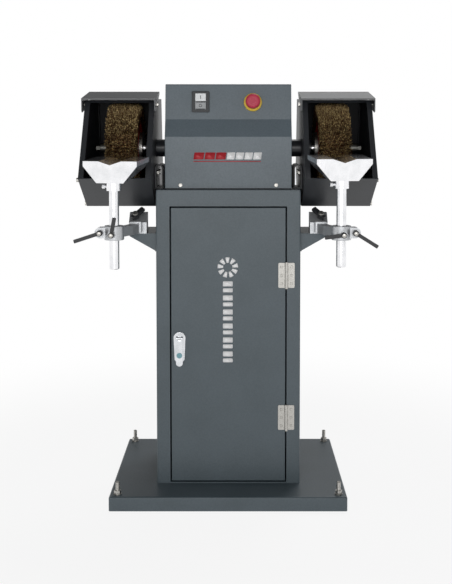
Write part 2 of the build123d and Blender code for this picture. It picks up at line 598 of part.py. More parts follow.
def spindle_end_screws():
    """Spacer tubes outside the brushes, and hexagon screws with a washer that clamp them."""
    pieces = []
    for s in (-1, 1):
        pieces.append(ring_x(s, BRUSH_X + CORE_HALF + 4, SPACER_END, BEARING_BORE, SPACER_RADIUS))
        washer = rod_x(9, s * SPACER_END, s * (SPACER_END + 2), AXIS_Y, AXIS_Z)
        shank = rod_x(4, s * (SHAFT_END - 22), s * SPACER_END, AXIS_Y, AXIS_Z)
        head = Pos(s * (SPACER_END + 2), AXIS_Y, AXIS_Z) * Rot(0, s * 90, 0) * hexagon(13, 8)
        pieces.append(washer + shank + head)
    return pieces


# ---------------------------------------------------------------- guards and visors
def front_strip(reach0=0.0, reach1=1.0):
    """The strip one sheet thick along the guard's open front, between two shares of it."""
    top_in, low_in = inset(GUARD_OUTLINE, SHEET)[:2]
    length = hypot(top_in[0] - low_in[0], top_in[1] - low_in[1])
    along = ((low_in[0] - top_in[0]) / length, (low_in[1] - top_in[1]) / length)
    outward = (along[1] * SHEET, -along[0] * SHEET)
    start = (top_in[0] + along[0] * length * reach0, top_in[1] + along[1] * length * reach0)
    end = (top_in[0] + along[0] * length * reach1, top_in[1] + along[1] * length * reach1)
    return [
        start, end,
        (end[0] + outward[0], end[1] + outward[1]), (start[0] + outward[0], start[1] + outward[1]),
    ]


def guard_shell(s):
    """A folded guard: inner side plate, wrap, rim flange and top hem, open towards the operator."""
    outer = rounded(GUARD_OUTLINE, 2.5, (0, 2, 3, 4, 5))
    inner = Polygon(*inset(GUARD_OUTLINE, SHEET), align=None)
    rim_inner = Polygon(*inset(GUARD_OUTLINE, SHEET + RIM_FLANGE), align=None)
    plate_in, cover_face = GUARD_IN + SHEET, GUARD_OUT - SHEET
    opening = Polygon(*front_strip(), align=None)
    shell = prism_x(outer, s * GUARD_IN, s * plate_in)
    shell += prism_x(outer - inner - opening, s * plate_in, s * cover_face)
    shell += prism_x(inner - rim_inner, s * (cover_face - SHEET), s * cover_face)
    shell -= guard_mouth_cut(s)
    shell += prism_x(front_strip(), s * plate_in, s * (plate_in + LIP_WIDTH))
    (top_y, top_z), (low_y, low_z) = GUARD_OUTLINE[:2]
    hem = front_strip(0, HEM_WIDTH / hypot(top_y - low_y, top_z - low_z))
    shell += prism_x(hem, s * plate_in, s * (cover_face - LIP_WIDTH - 0.3))
    shell -= rod_x(TUBE_RADIUS + 1.75, s * (GUARD_IN - 1), s * (plate_in + 1), AXIS_Y, AXIS_Z)
    shell -= rod_x(PIVOT_RADIUS, s * (GUARD_IN - 1), s * (cover_face + 1), PIVOT_Y, PIVOT_Z)
    for y in BOLT_YS:
        shell -= rod_x(BOLT_RADIUS, s * (GUARD_IN - 1), s * (plate_in + 1), y, BOLT_Z)
    return shell


def guard_mouth_cut(s):
    """What the rim flange loses across the open front, so that hands and work can pass."""
    (ay, az), (by, bz) = inset(GUARD_OUTLINE, SHEET + RIM_FLANGE)[:2]
    (cy, cz), (dy, dz) = inset(GUARD_OUTLINE, SHEET)[1], inset(GUARD_OUTLINE, SHEET)[0]
    cover_face = GUARD_OUT - SHEET
    return prism_x([(ay, az), (by, bz), (cy, cz), (dy, dz)], s * (cover_face - SHEET), s * cover_face)


def guard_side_cover(s):
    """The removable outer side plate, with a folded lip along its front edge."""
    outer = rounded(GUARD_OUTLINE, 2.5, (0, 2, 3, 4, 5))
    cover_face = GUARD_OUT - SHEET
    cover = prism_x(outer, s * cover_face, s * GUARD_OUT)
    cover += prism_x(front_strip(), s * (cover_face - LIP_WIDTH), s * cover_face)
    return cover - rod_x(PIVOT_RADIUS, s * (cover_face - 1), s * (GUARD_OUT + 1), PIVOT_Y, PIVOT_Z)


def guard_thumb_screws():
    """A thumb screw at the left cover's lower front corner, and a flatter one at the right's."""
    screws = []
    for s, height in ((-1, 5.0), (1, 2.5)):
        head = rod_x(4.5, s * (GUARD_OUT + 1), s * (GUARD_OUT + 1 + height), THUMB_Y, THUMB_Z)
        shank = rod_x(3, s * GUARD_OUT, s * (GUARD_OUT + 2), THUMB_Y, THUMB_Z)
        screws.append(fillet(head.edges(), 0.8) + shank)
    return screws


def tunnel(s, reach, low):
    """An upright slab with a round top, along the guard bracket's length."""
    middle, spring = s * (GUARD_IN + BRACKET_IN) / 2, BRACKET_TOP - (GUARD_IN - BRACKET_IN) / 2
    ends = (BRACKET_FRONT, BRACKET_BACK)
    return block(middle - reach, middle + reach, *ends, low, spring) + rod_y(reach, *ends, middle, spring)


def guard_bracket(s):
    """A tunnel-shaped bracket on the cabinet's top that holds a guard."""
    half = (GUARD_IN - BRACKET_IN) / 2
    bracket = tunnel(s, half, CABINET_TOP) - tunnel(s, half - 3, CABINET_TOP + 3)
    for y in BOLT_YS:
        bracket -= rod_x(BOLT_RADIUS, s * (GUARD_IN - 4), s * (GUARD_IN + 1), y, BOLT_Z)
    return bracket


def guard_bolts():
    """Bolts and nuts that hold the guards to their brackets."""
    pieces = []
    for s in (-1, 1):
        for y in BOLT_YS:
            head = Pos(s * (GUARD_IN - 3), y, BOLT_Z) * Rot(0, -s * 90, 0) * hexagon(10, 4)
            nut = Pos(s * (GUARD_IN + SHEET), y, BOLT_Z) * Rot(0, s * 90, 0) * hexagon(10, 5)
            shank = rod_x(BOLT_RADIUS, s * (GUARD_IN - 4), s * (GUARD_IN + SHEET + 1), y, BOLT_Z)
            pieces.append(head + nut + shank)
    return pieces


def visor(s):
    """A sloping plate over a guard, with a tapered cheek on each side."""
    slope = (VISOR_BACK_Z - VISOR_FRONT_Z) / (VISOR_BACK_Y - VISOR_FRONT_Y)
    top = [(VISOR_FRONT_Y, VISOR_FRONT_Z), (VISOR_BACK_Y, VISOR_BACK_Z)]
    under = [(y, z - SHEET) for y, z in reversed(top)]
    plate = prism_x(top[:1] + under[::-1] + top[1:], s * VISOR_IN, s * VISOR_OUT)
    cheek = Polygon(
        (VISOR_FRONT_Y, VISOR_FRONT_Z), (VISOR_FRONT_Y, VISOR_FRONT_Z - 26),
        (VISOR_FRONT_Y + 6, VISOR_FRONT_Z - 30), (-45, VISOR_FRONT_Z - 22),
        (VISOR_BACK_Y, VISOR_BACK_Z - 5), (VISOR_BACK_Y, VISOR_BACK_Z), align=None,
    )
    body = plate
    for x0, x1 in ((VISOR_IN, VISOR_IN + SHEET), (VISOR_OUT - SHEET, VISOR_OUT)):
        body += prism_x(cheek, s * x0, s * x1)
    lip = [
        (VISOR_FRONT_Y, VISOR_FRONT_Z), (VISOR_FRONT_Y, VISOR_FRONT_Z - VISOR_LIP),
        (VISOR_FRONT_Y + SHEET, VISOR_FRONT_Z - VISOR_LIP), (VISOR_FRONT_Y + SHEET, VISOR_FRONT_Z + SHEET * slope),
    ]
    body += prism_x(lip, s * VISOR_IN, s * VISOR_OUT)
    return body - rod_x(PIVOT_RADIUS + FIT, s * (VISOR_IN - 1), s * (VISOR_OUT + 1), PIVOT_Y, PIVOT_Z)


def visor_bolts():
    """Pivot bolts of the visors, with spacers between cheek and guard."""
    pieces = []
    for s in (-1, 1):
        inner_face, outer_face = GUARD_IN + SHEET, GUARD_OUT - 2 * SHEET
        inner = rod_x(PIVOT_RADIUS, s * (VISOR_IN - 1), s * (inner_face + 1), PIVOT_Y, PIVOT_Z)
        inner += rod_x(6, s * (VISOR_IN + SHEET + 0.3), s * GUARD_IN, PIVOT_Y, PIVOT_Z)
        inner += Pos(s * (VISOR_IN - 0.3), PIVOT_Y, PIVOT_Z) * Rot(0, -s * 90, 0) * hexagon(PIVOT_HEX, 4)
        inner += Pos(s * inner_face, PIVOT_Y, PIVOT_Z) * Rot(0, s * 90, 0) * hexagon(PIVOT_HEX, 4)
        outer = rod_x(PIVOT_RADIUS, s * (outer_face - 1), s * (VISOR_OUT + 1), PIVOT_Y, PIVOT_Z)
        outer += rod_x(6, s * GUARD_OUT, s * (VISOR_OUT - SHEET - 0.3), PIVOT_Y, PIVOT_Z)
        outer += Pos(s * (VISOR_OUT + 0.3), PIVOT_Y, PIVOT_Z) * Rot(0, s * 90, 0) * hexagon(PIVOT_HEX, 4)
        outer += Pos(s * outer_face, PIVOT_Y, PIVOT_Z) * Rot(0, -s * 90, 0) * hexagon(PIVOT_HEX, 4)
        pieces.extend([inner, outer])
    return pieces


# ---------------------------------------------------------------- shelves, arms and rests
def rest_bracket(s):
    """A welded shelf on the cabinet's side with a triangular gusset at each end."""
    low = SHELF_TOP - SHELF_THICKNESS
    shelf = block(s * CABINET_HALF, s * SHELF_OUT, SHELF_FRONT, SHELF_BACK, low, SHELF_TOP)
    shelf = fillet(shelf.edges().filter_by(Axis.Z).group_by(Axis.X)[-1 if s > 0 else 0], 3)
    shelf += block(s * CABINET_HALF, s * (CABINET_HALF + 3), SHELF_FRONT, SHELF_BACK, 535, low + 1)
    gusset = [(s * CABINET_HALF, low + 1), (s * (SHELF_OUT - 2), low + 1), (s * (SHELF_OUT - 2), low - 2),
              (s * CABINET_HALF, 535)]
    for y in (SHELF_FRONT, SHELF_BACK - 3):
        shelf += prism_y(gusset, y, y + 3)
    return shelf


def saddle_place(s, angle=0.0):
    """The frame of the screw on the saddle's slanted face: Z out of the face, X along the lever."""
    turn = radians(angle)
    origin = (s * BAR_X, SADDLE_FRONT + SLANT / 2, SADDLE_TOP - SLANT / 2)
    direction = (-s * cos(turn), sin(turn) / 2**0.5, sin(turn) / 2**0.5)
    return Plane(origin=origin, x_dir=direction, z_dir=(0, -1, 1)).location


def bar_clamp(s):
    """The saddle on the shelf that guides the arm's bar, slanted in front for its screw."""
    front, top = SADDLE_FRONT, SADDLE_TOP
    profile = [
        (front, SHELF_TOP), (SADDLE_BACK, SHELF_TOP), (SADDLE_BACK, top), (front + SLANT, top), (front, top - SLANT),
    ]
    saddle = prism_x(profile, s * SADDLE_IN, s * SADDLE_OUT)
    gap = BAR_HALF + FIT
    saddle -= block(s * BAR_X - gap, s * BAR_X + gap, front - 1, SADDLE_BACK + 1, BAR_BOTTOM - FIT, BAR_TOP + FIT)
    return saddle - saddle_place(s) * Pos(0, 0, -10) * Cylinder(SCREW_RADIUS + FIT, 22)


def arm(s):
    """The cast arm: tail bar, shoulder, curved web, split ring and clamping ears."""
    bar = block(s * BAR_X - BAR_HALF, s * BAR_X + BAR_HALF, SADDLE_FRONT - 8, BAR_BACK, BAR_BOTTOM, BAR_TOP)
    shoulder = block(s * 185, s * 209, SADDLE_FRONT - 18, SADDLE_FRONT - 1, BAR_BOTTOM, RING_TOP - 1)
    shoulder = fillet(shoulder.edges().filter_by(Axis.Z), 3)
    web_plan = Polygon(
        (s * 188, SADDLE_FRONT - 12), (s * 207, SADDLE_FRONT - 12), (s * 216, -142),
        (s * 243, -185), (s * 221, -200), (s * 199, -150), align=None,
    )
    corners = web_plan.vertices().filter_by(lambda v: -160 < v.Y < -130)
    web = Pos(0, 0, BAR_BOTTOM - 1) * extrude(fillet(corners, 14), BAR_TOP - BAR_BOTTOM + 2, dir=(0, 0, 1))
    ring = rod_z(RING_RADIUS, RING_BOTTOM, RING_TOP, s * POST_X, POST_Y)
    ring = fillet(ring.edges(), 1.5)
    ear_ys = (POST_Y - EAR_HALF, POST_Y + EAR_HALF)
    ears = block(s * POST_X, s * EAR_X, *ear_ys, EAR_Z - EAR_RADIUS, EAR_Z + EAR_RADIUS)
    ears += rod_y(EAR_RADIUS, *ear_ys, s * EAR_X, EAR_Z)
    pad = rod_y(8, POST_Y - RING_RADIUS - 0.8, POST_Y, s * FRONT_SCREW_X, FRONT_SCREW_Z)
    body = bar + shoulder + web + ring + ears + pad
    body -= rod_z(POST_RADIUS + FIT, RING_BOTTOM - 1, RING_TOP + 1, s * POST_X, POST_Y)
    body -= block(s * (POST_X + 5), s * (EAR_X + 15), POST_Y - 1, POST_Y + 1, RING_BOTTOM - 1, RING_TOP + 1)
    body -= rod_y(SCREW_RADIUS + FIT, POST_Y - 25, POST_Y + 25, s * EAR_X, EAR_Z)
    return body - rod_y(SCREW_RADIUS + FIT, POST_Y - 30, POST_Y, s * FRONT_SCREW_X, FRONT_SCREW_Z)


def post(s, lift):
    """The vertical post, raised in its ring by the lift."""
    rod = rod_z(POST_RADIUS, POST_BOTTOM + lift, POST_TOP + lift, s * POST_X, POST_Y)
    return chamfer(rod.edges().group_by(Axis.Z)[0] + rod.edges().group_by(Axis.Z)[-1], 1.2)


def rest_place(s, toe, lift):
    """The rest's own frame on its post: local Y points back, turned in by the toe angle."""
    return Pos(s * POST_X, POST_Y, lift) * Rot(0, 0, s * toe)


def rest(s, toe, lift):
    """The machined work rest: a V-grooved table that climbs to the back and narrows to its boss."""
    half, low, edge = REST_WIDTH / 2, REST_BOTTOM, REST_TOP - REST_EDGE
    outline = [
        (-half, REST_TOP), (-half, edge), (-half / 2, low), (half / 2, low), (half, edge), (half, REST_TOP),
        (GROOVE_HALF, REST_TOP), (0, REST_TOP - GROOVE_DEPTH), (-GROOVE_HALF, REST_TOP),
    ]
    front = Plane(origin=(0, -REST_AHEAD, 0), x_dir=(1, 0, 0), z_dir=(0, -1, 0))
    climb = Vector(0, REST_AHEAD + REST_BEHIND, REST_CLIMB)
    table = extrude(front.location * Polygon(*outline, align=None), climb.length, dir=climb)
    behind = REST_BEHIND + 1
    table -= prism_x([(0, low), (0, low - 1), (behind, low - 1), (behind, low + REST_RISE)], -half, half)
    table += rod_z(BOSS_RADIUS, BOSS_BOTTOM, low + 12, 0, 0)
    table -= rod_z(POST_RADIUS + FIT, BOSS_BOTTOM - 1, POST_TOP + 0.5, 0, 0)
    return rest_place(s, toe, lift) * (table - rod_x(2.5, -20, 0, 0, SET_SCREW_Z))


def rest_set_screw(s, toe, lift):
    """The screw that locks the rest on its post."""
    screw = rod_x(2.5, -22, -POST_RADIUS - 0.3, 0, SET_SCREW_Z) + rod_x(4, -25, -19, 0, SET_SCREW_Z)
    return rest_place(s, toe, lift) * screw


# ---------------------------------------------------------------- clamp levers
def clamp_lever(length):
    """A clamp lever: hub and screw on local Z, arm along local X, with a bright cap."""
    hub = Pos(0, 0, LEVER_DEPTH / 2) * Cylinder(LEVER_HUB, LEVER_DEPTH)
    hub = fillet(hub.edges().group_by(Axis.Z)[-1], 1)
    side = [(0, 3), (length, 5.5), (length, 12), (8, 11), (0, 11)]
    plane = Plane(origin=(0, 3.7, 0), x_dir=(1, 0, 0), z_dir=(0, -1, 0))
    bar = extrude(plane.location * Polygon(*side, align=None), 7.4, dir=(0, -1, 0))
    bar = fillet(bar.edges().filter_by(Axis.Z) + bar.edges().filter_by(Axis.Y), 1.4)
    return hub + bar


def clamp_screw(shank):
    """The steel screw of a clamp lever, with its cap on the hub."""
    cap = Pos(0, 0, LEVER_DEPTH + 0.75) * Cylinder(3.8, 1.5)
    return cap + Pos(0, 0, -shank / 2) * Cylinder(SCREW_RADIUS, shank)


def lever_place(x, y, z, angle):
    """A lever's frame on a screw along -Y: its arm points at an angle from +X."""
    direction = (cos(radians(angle)), 0, sin(radians(angle)))
    return Plane(origin=(x, y, z), x_dir=direction, z_dir=(0, -1, 0)).location


def ear_lever(s, length, angle):
    """The lever that pinches the split ring."""
    place = lever_place(s * EAR_X, POST_Y - EAR_HALF - LEVER_GAP, EAR_Z, angle)
    return [place * clamp_lever(length), place * clamp_screw(24)]


def front_lever(s, length, angle):
    """The lever that locks the post."""
    place = lever_place(s * FRONT_SCREW_X, POST_Y - RING_RADIUS - LEVER_GAP, FRONT_SCREW_Z, angle)
    return [place * clamp_lever(length), place * clamp_screw(10)]


def reach_lever(s):
    """The cross handle on the saddle's slanted face that locks the arm's bar, and its screw."""
    hub = Pos(0, 0, LEVER_GAP + LEVER_DEPTH / 2) * Cylinder(7.5, LEVER_DEPTH)
    hub = fillet(hub.edges().group_by(Axis.Z)[-1], 1)
    bar = Pos(6.5, 0, LEVER_GAP + 6.5) * fillet(Box(36, 11, 8).edges(), 2)
    screw = Pos(0, 0, -SADDLE_SCREW / 2 + LEVER_GAP / 2) * Cylinder(SCREW_RADIUS, SADDLE_SCREW + LEVER_GAP)
    cap = Pos(0, 0, LEVER_GAP + LEVER_DEPTH + 0.75) * Cylinder(5.5, 1.5)
    place = saddle_place(s, REACH_LEVER_ANGLE)
    return [place * (hub + bar), place * (screw + cap)]


# ---------------------------------------------------------------- the whole machine
def main():
    """Build every node and write it."""
    os.makedirs("parts", exist_ok=True)
    nodes = {
        "base_pan": base_pan(),
        "foot_pads": foot_pads(),
        "foot_studs": foot_studs(),
        "cabinet_shell": cabinet_shell(),
        "cabinet_rear_panel": cabinet_rear_panel(),
        "hinge_frame_leaves": hinge_leaves(1),
        "hinge_door_leaves": hinge_leaves(-1),
        "hinge_pins": hinge_pins(),
        "hinge_door_screws": hinge_door_screws(),
        "machine_screws": machine_screws(),
        "door_panel": door_panel(),
        "lock_body": lock_body(),
        "lock_cam": lock_cam(),
        "lock_handle": lock_handle(),
        "lock_button": lock_button(),
        "head_cover": head_cover(),
        "head_rear_panel": head_rear_panel(),
        "head_gasket": head_gasket(),
        "switch_bezel": switch_bezel(),
        "start_button": switch_button(0.6, 17.9, 5.0),
        "stop_button": switch_button(-17.9, -0.6, 6.5),
        "estop_collar": estop_collar(),
        "estop_stem": estop_stem(),
        "estop_head": estop_head(),
        "cable_gland": cable_gland(),
        "motor_housing": motor_housing(),
        "motor_stator": motor_stator(),
        "motor_end_shields": both_sides(motor_end_shield),
        "bearing_outer_rings": [
            ring_x(s, BEARING_X0, BEARING_X1, OUTER_RING, BEARING_OUTER) for s in (-1, 1)
        ],
        "bearing_inner_rings": [
            ring_x(s, BEARING_X0, BEARING_X1, BEARING_BORE, INNER_RING) for s in (-1, 1)
        ],
        "motor_rotor": motor_rotor(),
        "spindle_shaft": spindle_shaft(),
        "brush_cores": both_sides(brush_core),
        "brush_flanges": brush_flanges(),
        "spindle_end_screws": spindle_end_screws(),
        "guard_side_covers": both_sides(guard_side_cover),
        "guard_thumb_screws": guard_thumb_screws(),
        "guard_brackets": both_sides(guard_bracket),
        "guard_bolts": guard_bolts(),
        "visor_bolts": visor_bolts(),
        "rest_brackets": both_sides(rest_bracket),
        "bar_clamps": both_sides(bar_clamp),
    }
    for name, side in SIDES.items():
        s, toe, lift = side["sign"], side["toe"], side["lift"]
        nodes[f"brush_fill_{name}"] = brush_fill(s)
        nodes[f"guard_shell_{name}"] = guard_shell(s)
        nodes[f"visor_{name}"] = visor(s)
        nodes[f"arm_{name}"] = arm(s)
        nodes[f"post_{name}"] = post(s, lift)
        nodes[f"rest_{name}"] = [rest(s, toe, lift), rest_set_screw(s, toe, lift)]
        nodes[f"ear_lever_{name}"] = ear_lever(s, *side["ear"])
        nodes[f"front_lever_{name}"] = front_lever(s, *side["front"])
        nodes[f"reach_lever_{name}"] = reach_lever(s)
    for name, pieces in nodes.items():
        export_node(name, pieces)
    print(len(nodes), "nodes, frame moved by", FRAME_Y)


main()
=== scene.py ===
"""The looks of a double-ended pedestal brush machine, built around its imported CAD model.

Metres, +Z up, the operator stands at -Y. Places come from the boxes of the CAD nodes.
"""

import logging
from dataclasses import dataclass, field
from enum import Enum
from math import cos, pi, radians, sin

import bpy
import numpy as np
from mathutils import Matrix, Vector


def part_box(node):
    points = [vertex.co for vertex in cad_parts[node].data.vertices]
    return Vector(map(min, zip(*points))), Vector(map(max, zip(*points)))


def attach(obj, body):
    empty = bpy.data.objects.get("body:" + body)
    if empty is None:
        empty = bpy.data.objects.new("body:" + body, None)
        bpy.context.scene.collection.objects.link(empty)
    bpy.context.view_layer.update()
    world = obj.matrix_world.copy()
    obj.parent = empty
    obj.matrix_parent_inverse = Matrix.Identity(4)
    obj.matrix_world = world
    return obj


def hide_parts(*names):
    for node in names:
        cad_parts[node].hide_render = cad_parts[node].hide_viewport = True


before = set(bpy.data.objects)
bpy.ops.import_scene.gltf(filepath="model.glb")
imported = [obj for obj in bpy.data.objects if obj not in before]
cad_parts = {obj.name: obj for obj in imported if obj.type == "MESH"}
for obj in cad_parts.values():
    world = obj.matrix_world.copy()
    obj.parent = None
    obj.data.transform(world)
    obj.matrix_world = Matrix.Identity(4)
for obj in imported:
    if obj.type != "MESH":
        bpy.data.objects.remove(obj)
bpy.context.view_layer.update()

LOG = logging.getLogger("brush_machine")
MM = 0.001
X_AXIS, Y_AXIS, Z_AXIS = np.eye(3)
GOLDEN_SHARE = (5**0.5 - 1) / 2
Outline = np.ndarray


class Side(Enum):
    """The two ends of the spindle, by the sign of their X."""

    LEFT = -1
    RIGHT = 1

    @property
    def label(self) -> str:
        """The side's name as the CAD nodes spell it."""
        return self.name.lower()


class Lay(Enum):
    """Which way a cutting or brushing tool ran: the stretch of its marks along X, Y and Z."""

    ALONG_X = (0.04, 1.0, 1.0)
    AROUND_X = (1.0, 0.03, 0.03)
    AROUND_Z = (0.03, 0.03, 1.0)


# ---------------------------------------------------------------- nodes and colours
def linear(hex_colour: str) -> tuple[float, float, float, float]:
    """Turns an sRGB hex colour into the linear colour that sockets take.

    Args:
        hex_colour: A colour such as "#8A9096".

    Returns:
        Linear red, green and blue, and an alpha of one.
    """
    channels = np.array([int(hex_colour[i:i + 2], 16) for i in (1, 3, 5)]) / 255
    curved = np.where(channels <= 0.04045, channels / 12.92, ((channels + 0.055) / 1.055) ** 2.4)
    return (*curved.tolist(), 1.0)


def feed(tree: bpy.types.NodeTree, node: bpy.types.Node, sockets: dict) -> None:
    """Sets a node's inputs, or links those that are given another node's output.

    Args:
        tree: The node tree.
        node: The node whose inputs are set.
        sockets: Values or output sockets by input name or number.
    """
    for key, value in sockets.items():
        if isinstance(value, bpy.types.NodeSocket):
            tree.links.new(value, node.inputs[key])
        else:
            node.inputs[key].default_value = value


def add_node(tree: bpy.types.NodeTree, kind: str, sockets: dict | None = None, **settings) -> bpy.types.Node:
    """Adds a node with its settings and inputs.

    Args:
        tree: The node tree.
        kind: The node's type.
        sockets: Values or output sockets by input name or number.
        **settings: The node's own properties.

    Returns:
        The new node.
    """
    node = tree.nodes.new(kind)
    for key, value in settings.items():
        setattr(node, key, value)
    feed(tree, node, sockets or {})
    return node


def per_metre(size_mm: float) -> float:
    """The texture scale whose features are about this many millimetres wide."""
    return 1 / (size_mm * MM)


# ---------------------------------------------------------------- finishes
@dataclass(frozen=True)
class Finish:
    """What every finish has: its name, its sRGB colour, how rough it is and whether it is metal."""

    name: str
    colour: str
    roughness: float
    metallic: float = 0.0

    def material(self) -> bpy.types.Material:
        """Makes the finish's material once and returns it."""
        made = bpy.data.materials.get(self.name)
        if made:
            return made
        made = bpy.data.materials.new(self.name)
        made.use_nodes = True
        tree = made.node_tree
        tree.nodes.clear()
        place = add_node(tree, "ShaderNodeTexCoord").outputs["Object"]
        surface = add_node(tree, "ShaderNodeBsdfPrincipled", {
            "Base Color": linear(self.colour), "Roughness": self.roughness, "Metallic": self.metallic,
        })
        self.detail(tree, place, surface)
        add_node(tree, "ShaderNodeOutputMaterial", {"Surface": surface.outputs["BSDF"]})
        return made

    def detail(self, tree: bpy.types.NodeTree, place: bpy.types.NodeSocket, surface: bpy.types.Node) -> None:
        """Adds what is particular to this finish; each kind of finish has its own."""

    def tint(self, tree: bpy.types.NodeTree, share: bpy.types.NodeSocket, other: str) -> bpy.types.NodeSocket:
        """Blends from the finish's colour to another one.

        Args:
            tree: The node tree.
            share: How much of the other colour shows, from 0 to 1.
            other: The other sRGB colour.

        Returns:
            The blended colour's socket.
        """
        mix = add_node(
            tree, "ShaderNodeMix", {0: share, 6: linear(self.colour), 7: linear(other)}, data_type="RGBA"
        )
        return mix.outputs[2]


@dataclass(frozen=True)
class PowderCoat(Finish):
    """Baked powder paint on sheet steel: a satin skin with fine orange peel and a faint cloudiness."""

    cloud: str = "#000000"
    peel_mm: float = 3.0
    peel_depth_mm: float = 0.05

    def detail(self, tree: bpy.types.NodeTree, place: bpy.types.NodeSocket, surface: bpy.types.Node) -> None:
        """Real peel is about 1 mm wide; it is drawn coarser so that it shows in a whole view."""
        clouds = add_node(
            tree, "ShaderNodeTexNoise", {"Vector": place, "Scale": per_metre(90), "Detail": 4.0}
        )
        peel = add_node(
            tree, "ShaderNodeTexNoise", {"Vector": place, "Scale": per_metre(self.peel_mm), "Detail": 3.0}
        )
        fleck = add_node(
            tree, "ShaderNodeMath", {0: clouds.outputs["Fac"], 1: peel.outputs["Fac"]}, operation="ADD"
        )
        share = add_node(
            tree, "ShaderNodeMapRange", {"Value": fleck.outputs[0], "From Min": 0.75, "From Max": 1.25}
        )
        rough = add_node(tree, "ShaderNodeMapRange", {
            "Value": peel.outputs["Fac"], "To Min": self.roughness - 0.06, "To Max": self.roughness + 0.06,
        })
        bump = add_node(tree, "ShaderNodeBump", {
            "Height": peel.outputs["Fac"], "Strength": 0.6, "Distance": self.peel_depth_mm * MM,
        })
        feed(tree, surface, {
            "Base Color": self.tint(tree, share.outputs["Result"], self.cloud),
            "Roughness": rough.outputs["Result"],
            "Normal": bump.outputs["Normal"], "IOR": 1.6,
        })


@dataclass(frozen=True)
class MachinedMetal(Finish):
    """Turned, milled or brushed metal: bright, with fine tool marks that run one way."""

    lay: Lay = Lay.ALONG_X
    mark_mm: float = 0.8
    mark_depth_mm: float = 0.01
    stain: str = "#B9BBBD"

    def detail(self, tree: bpy.types.NodeTree, place: bpy.types.NodeSocket, surface: bpy.types.Node) -> None:
        """Real marks are 0.1 to 0.2 mm apart; they are drawn coarser and stretched along the lay."""
        along = add_node(
            tree, "ShaderNodeMapping", {"Vector": place, "Scale": self.lay.value}
        ).outputs["Vector"]
        marks = add_node(
            tree, "ShaderNodeTexNoise", {"Vector": along, "Scale": per_metre(self.mark_mm), "Detail": 2.0}
        )
        smears = add_node(
            tree, "ShaderNodeTexNoise", {"Vector": place, "Scale": per_metre(25), "Detail": 3.0}
        )
        share = add_node(tree, "ShaderNodeMapRange", {
            "Value": smears.outputs["Fac"], "From Min": 0.4, "From Max": 0.75,
        })
        rough = add_node(tree, "ShaderNodeMapRange", {
            "Value": marks.outputs["Fac"], "To Min": self.roughness - 0.08, "To Max": self.roughness + 0.1,
        })
        bump = add_node(tree, "ShaderNodeBump", {
            "Height": marks.outputs["Fac"], "Strength": 0.5, "Distance": self.mark_depth_mm * MM,
        })
        feed(tree, surface, {
            "Base Color": self.tint(tree, share.outputs["Result"], self.stain),
            "Roughness": rough.outputs["Result"],
            "Normal": bump.outputs["Normal"],
        })


@dataclass(frozen=True)
class PlatedSteel(Finish):
    """Zinc or nickel plate on steel: small spangles that differ a little in tone and gloss."""

    shadow: str = "#8E8F8C"
    spangle_mm: float = 1.6

    def detail(self, tree: bpy.types.NodeTree, place: bpy.types.NodeSocket, surface: bpy.types.Node) -> None:
        """Voronoi cells stand for the crystals of the plate."""
        cells = add_node(tree, "ShaderNodeTexVoronoi", {"Vector": place, "Scale": per_metre(self.spangle_mm)})
        tone = add_node(tree, "ShaderNodeSeparateColor", {"Color": cells.outputs["Color"]}).outputs["Red"]
        rough = add_node(tree, "ShaderNodeMapRange", {
            "Value": tone, "To Min": self.roughness - 0.07, "To Max": self.roughness + 0.1,
        })
        half = add_node(tree, "ShaderNodeMath", {0: tone, 1: 0.5}, operation="MULTIPLY").outputs[0]
        feed(
            tree, surface,
            {"Base Color": self.tint(tree, half, self.shadow), "Roughness": rough.outputs["Result"]}
        )


@dataclass(frozen=True)
class CastMetal(Finish):
    """Cast and bead-blasted metal: an even grain of small dents with darker pits."""

    pit: str = "#84878B"
    grain_mm: float = 1.2
    grain_depth_mm: float = 0.12

    def detail(self, tree: bpy.types.NodeTree, place: bpy.types.NodeSocket, surface: bpy.types.Node) -> None:
        """Real blasting grain is about 0.3 mm; it is drawn coarser so that it shows."""
        grain = add_node(
            tree, "ShaderNodeTexNoise", {"Vector": place, "Scale": per_metre(self.grain_mm), "Detail": 5.0}
        )
        pits = add_node(
            tree, "ShaderNodeMapRange", {"Value": grain.outputs["Fac"], "From Min": 0.62, "From Max": 0.4}
        )
        bump = add_node(tree, "ShaderNodeBump", {
            "Height": grain.outputs["Fac"], "Strength": 0.7, "Distance": self.grain_depth_mm * MM,
        })
        share = add_node(
            tree, "ShaderNodeMath", {0: pits.outputs["Result"], 1: 0.6}, operation="MULTIPLY"
        ).outputs[0]
        feed(
            tree, surface, {"Base Color": self.tint(tree, share, self.pit), "Normal": bump.outputs["Normal"]}
        )


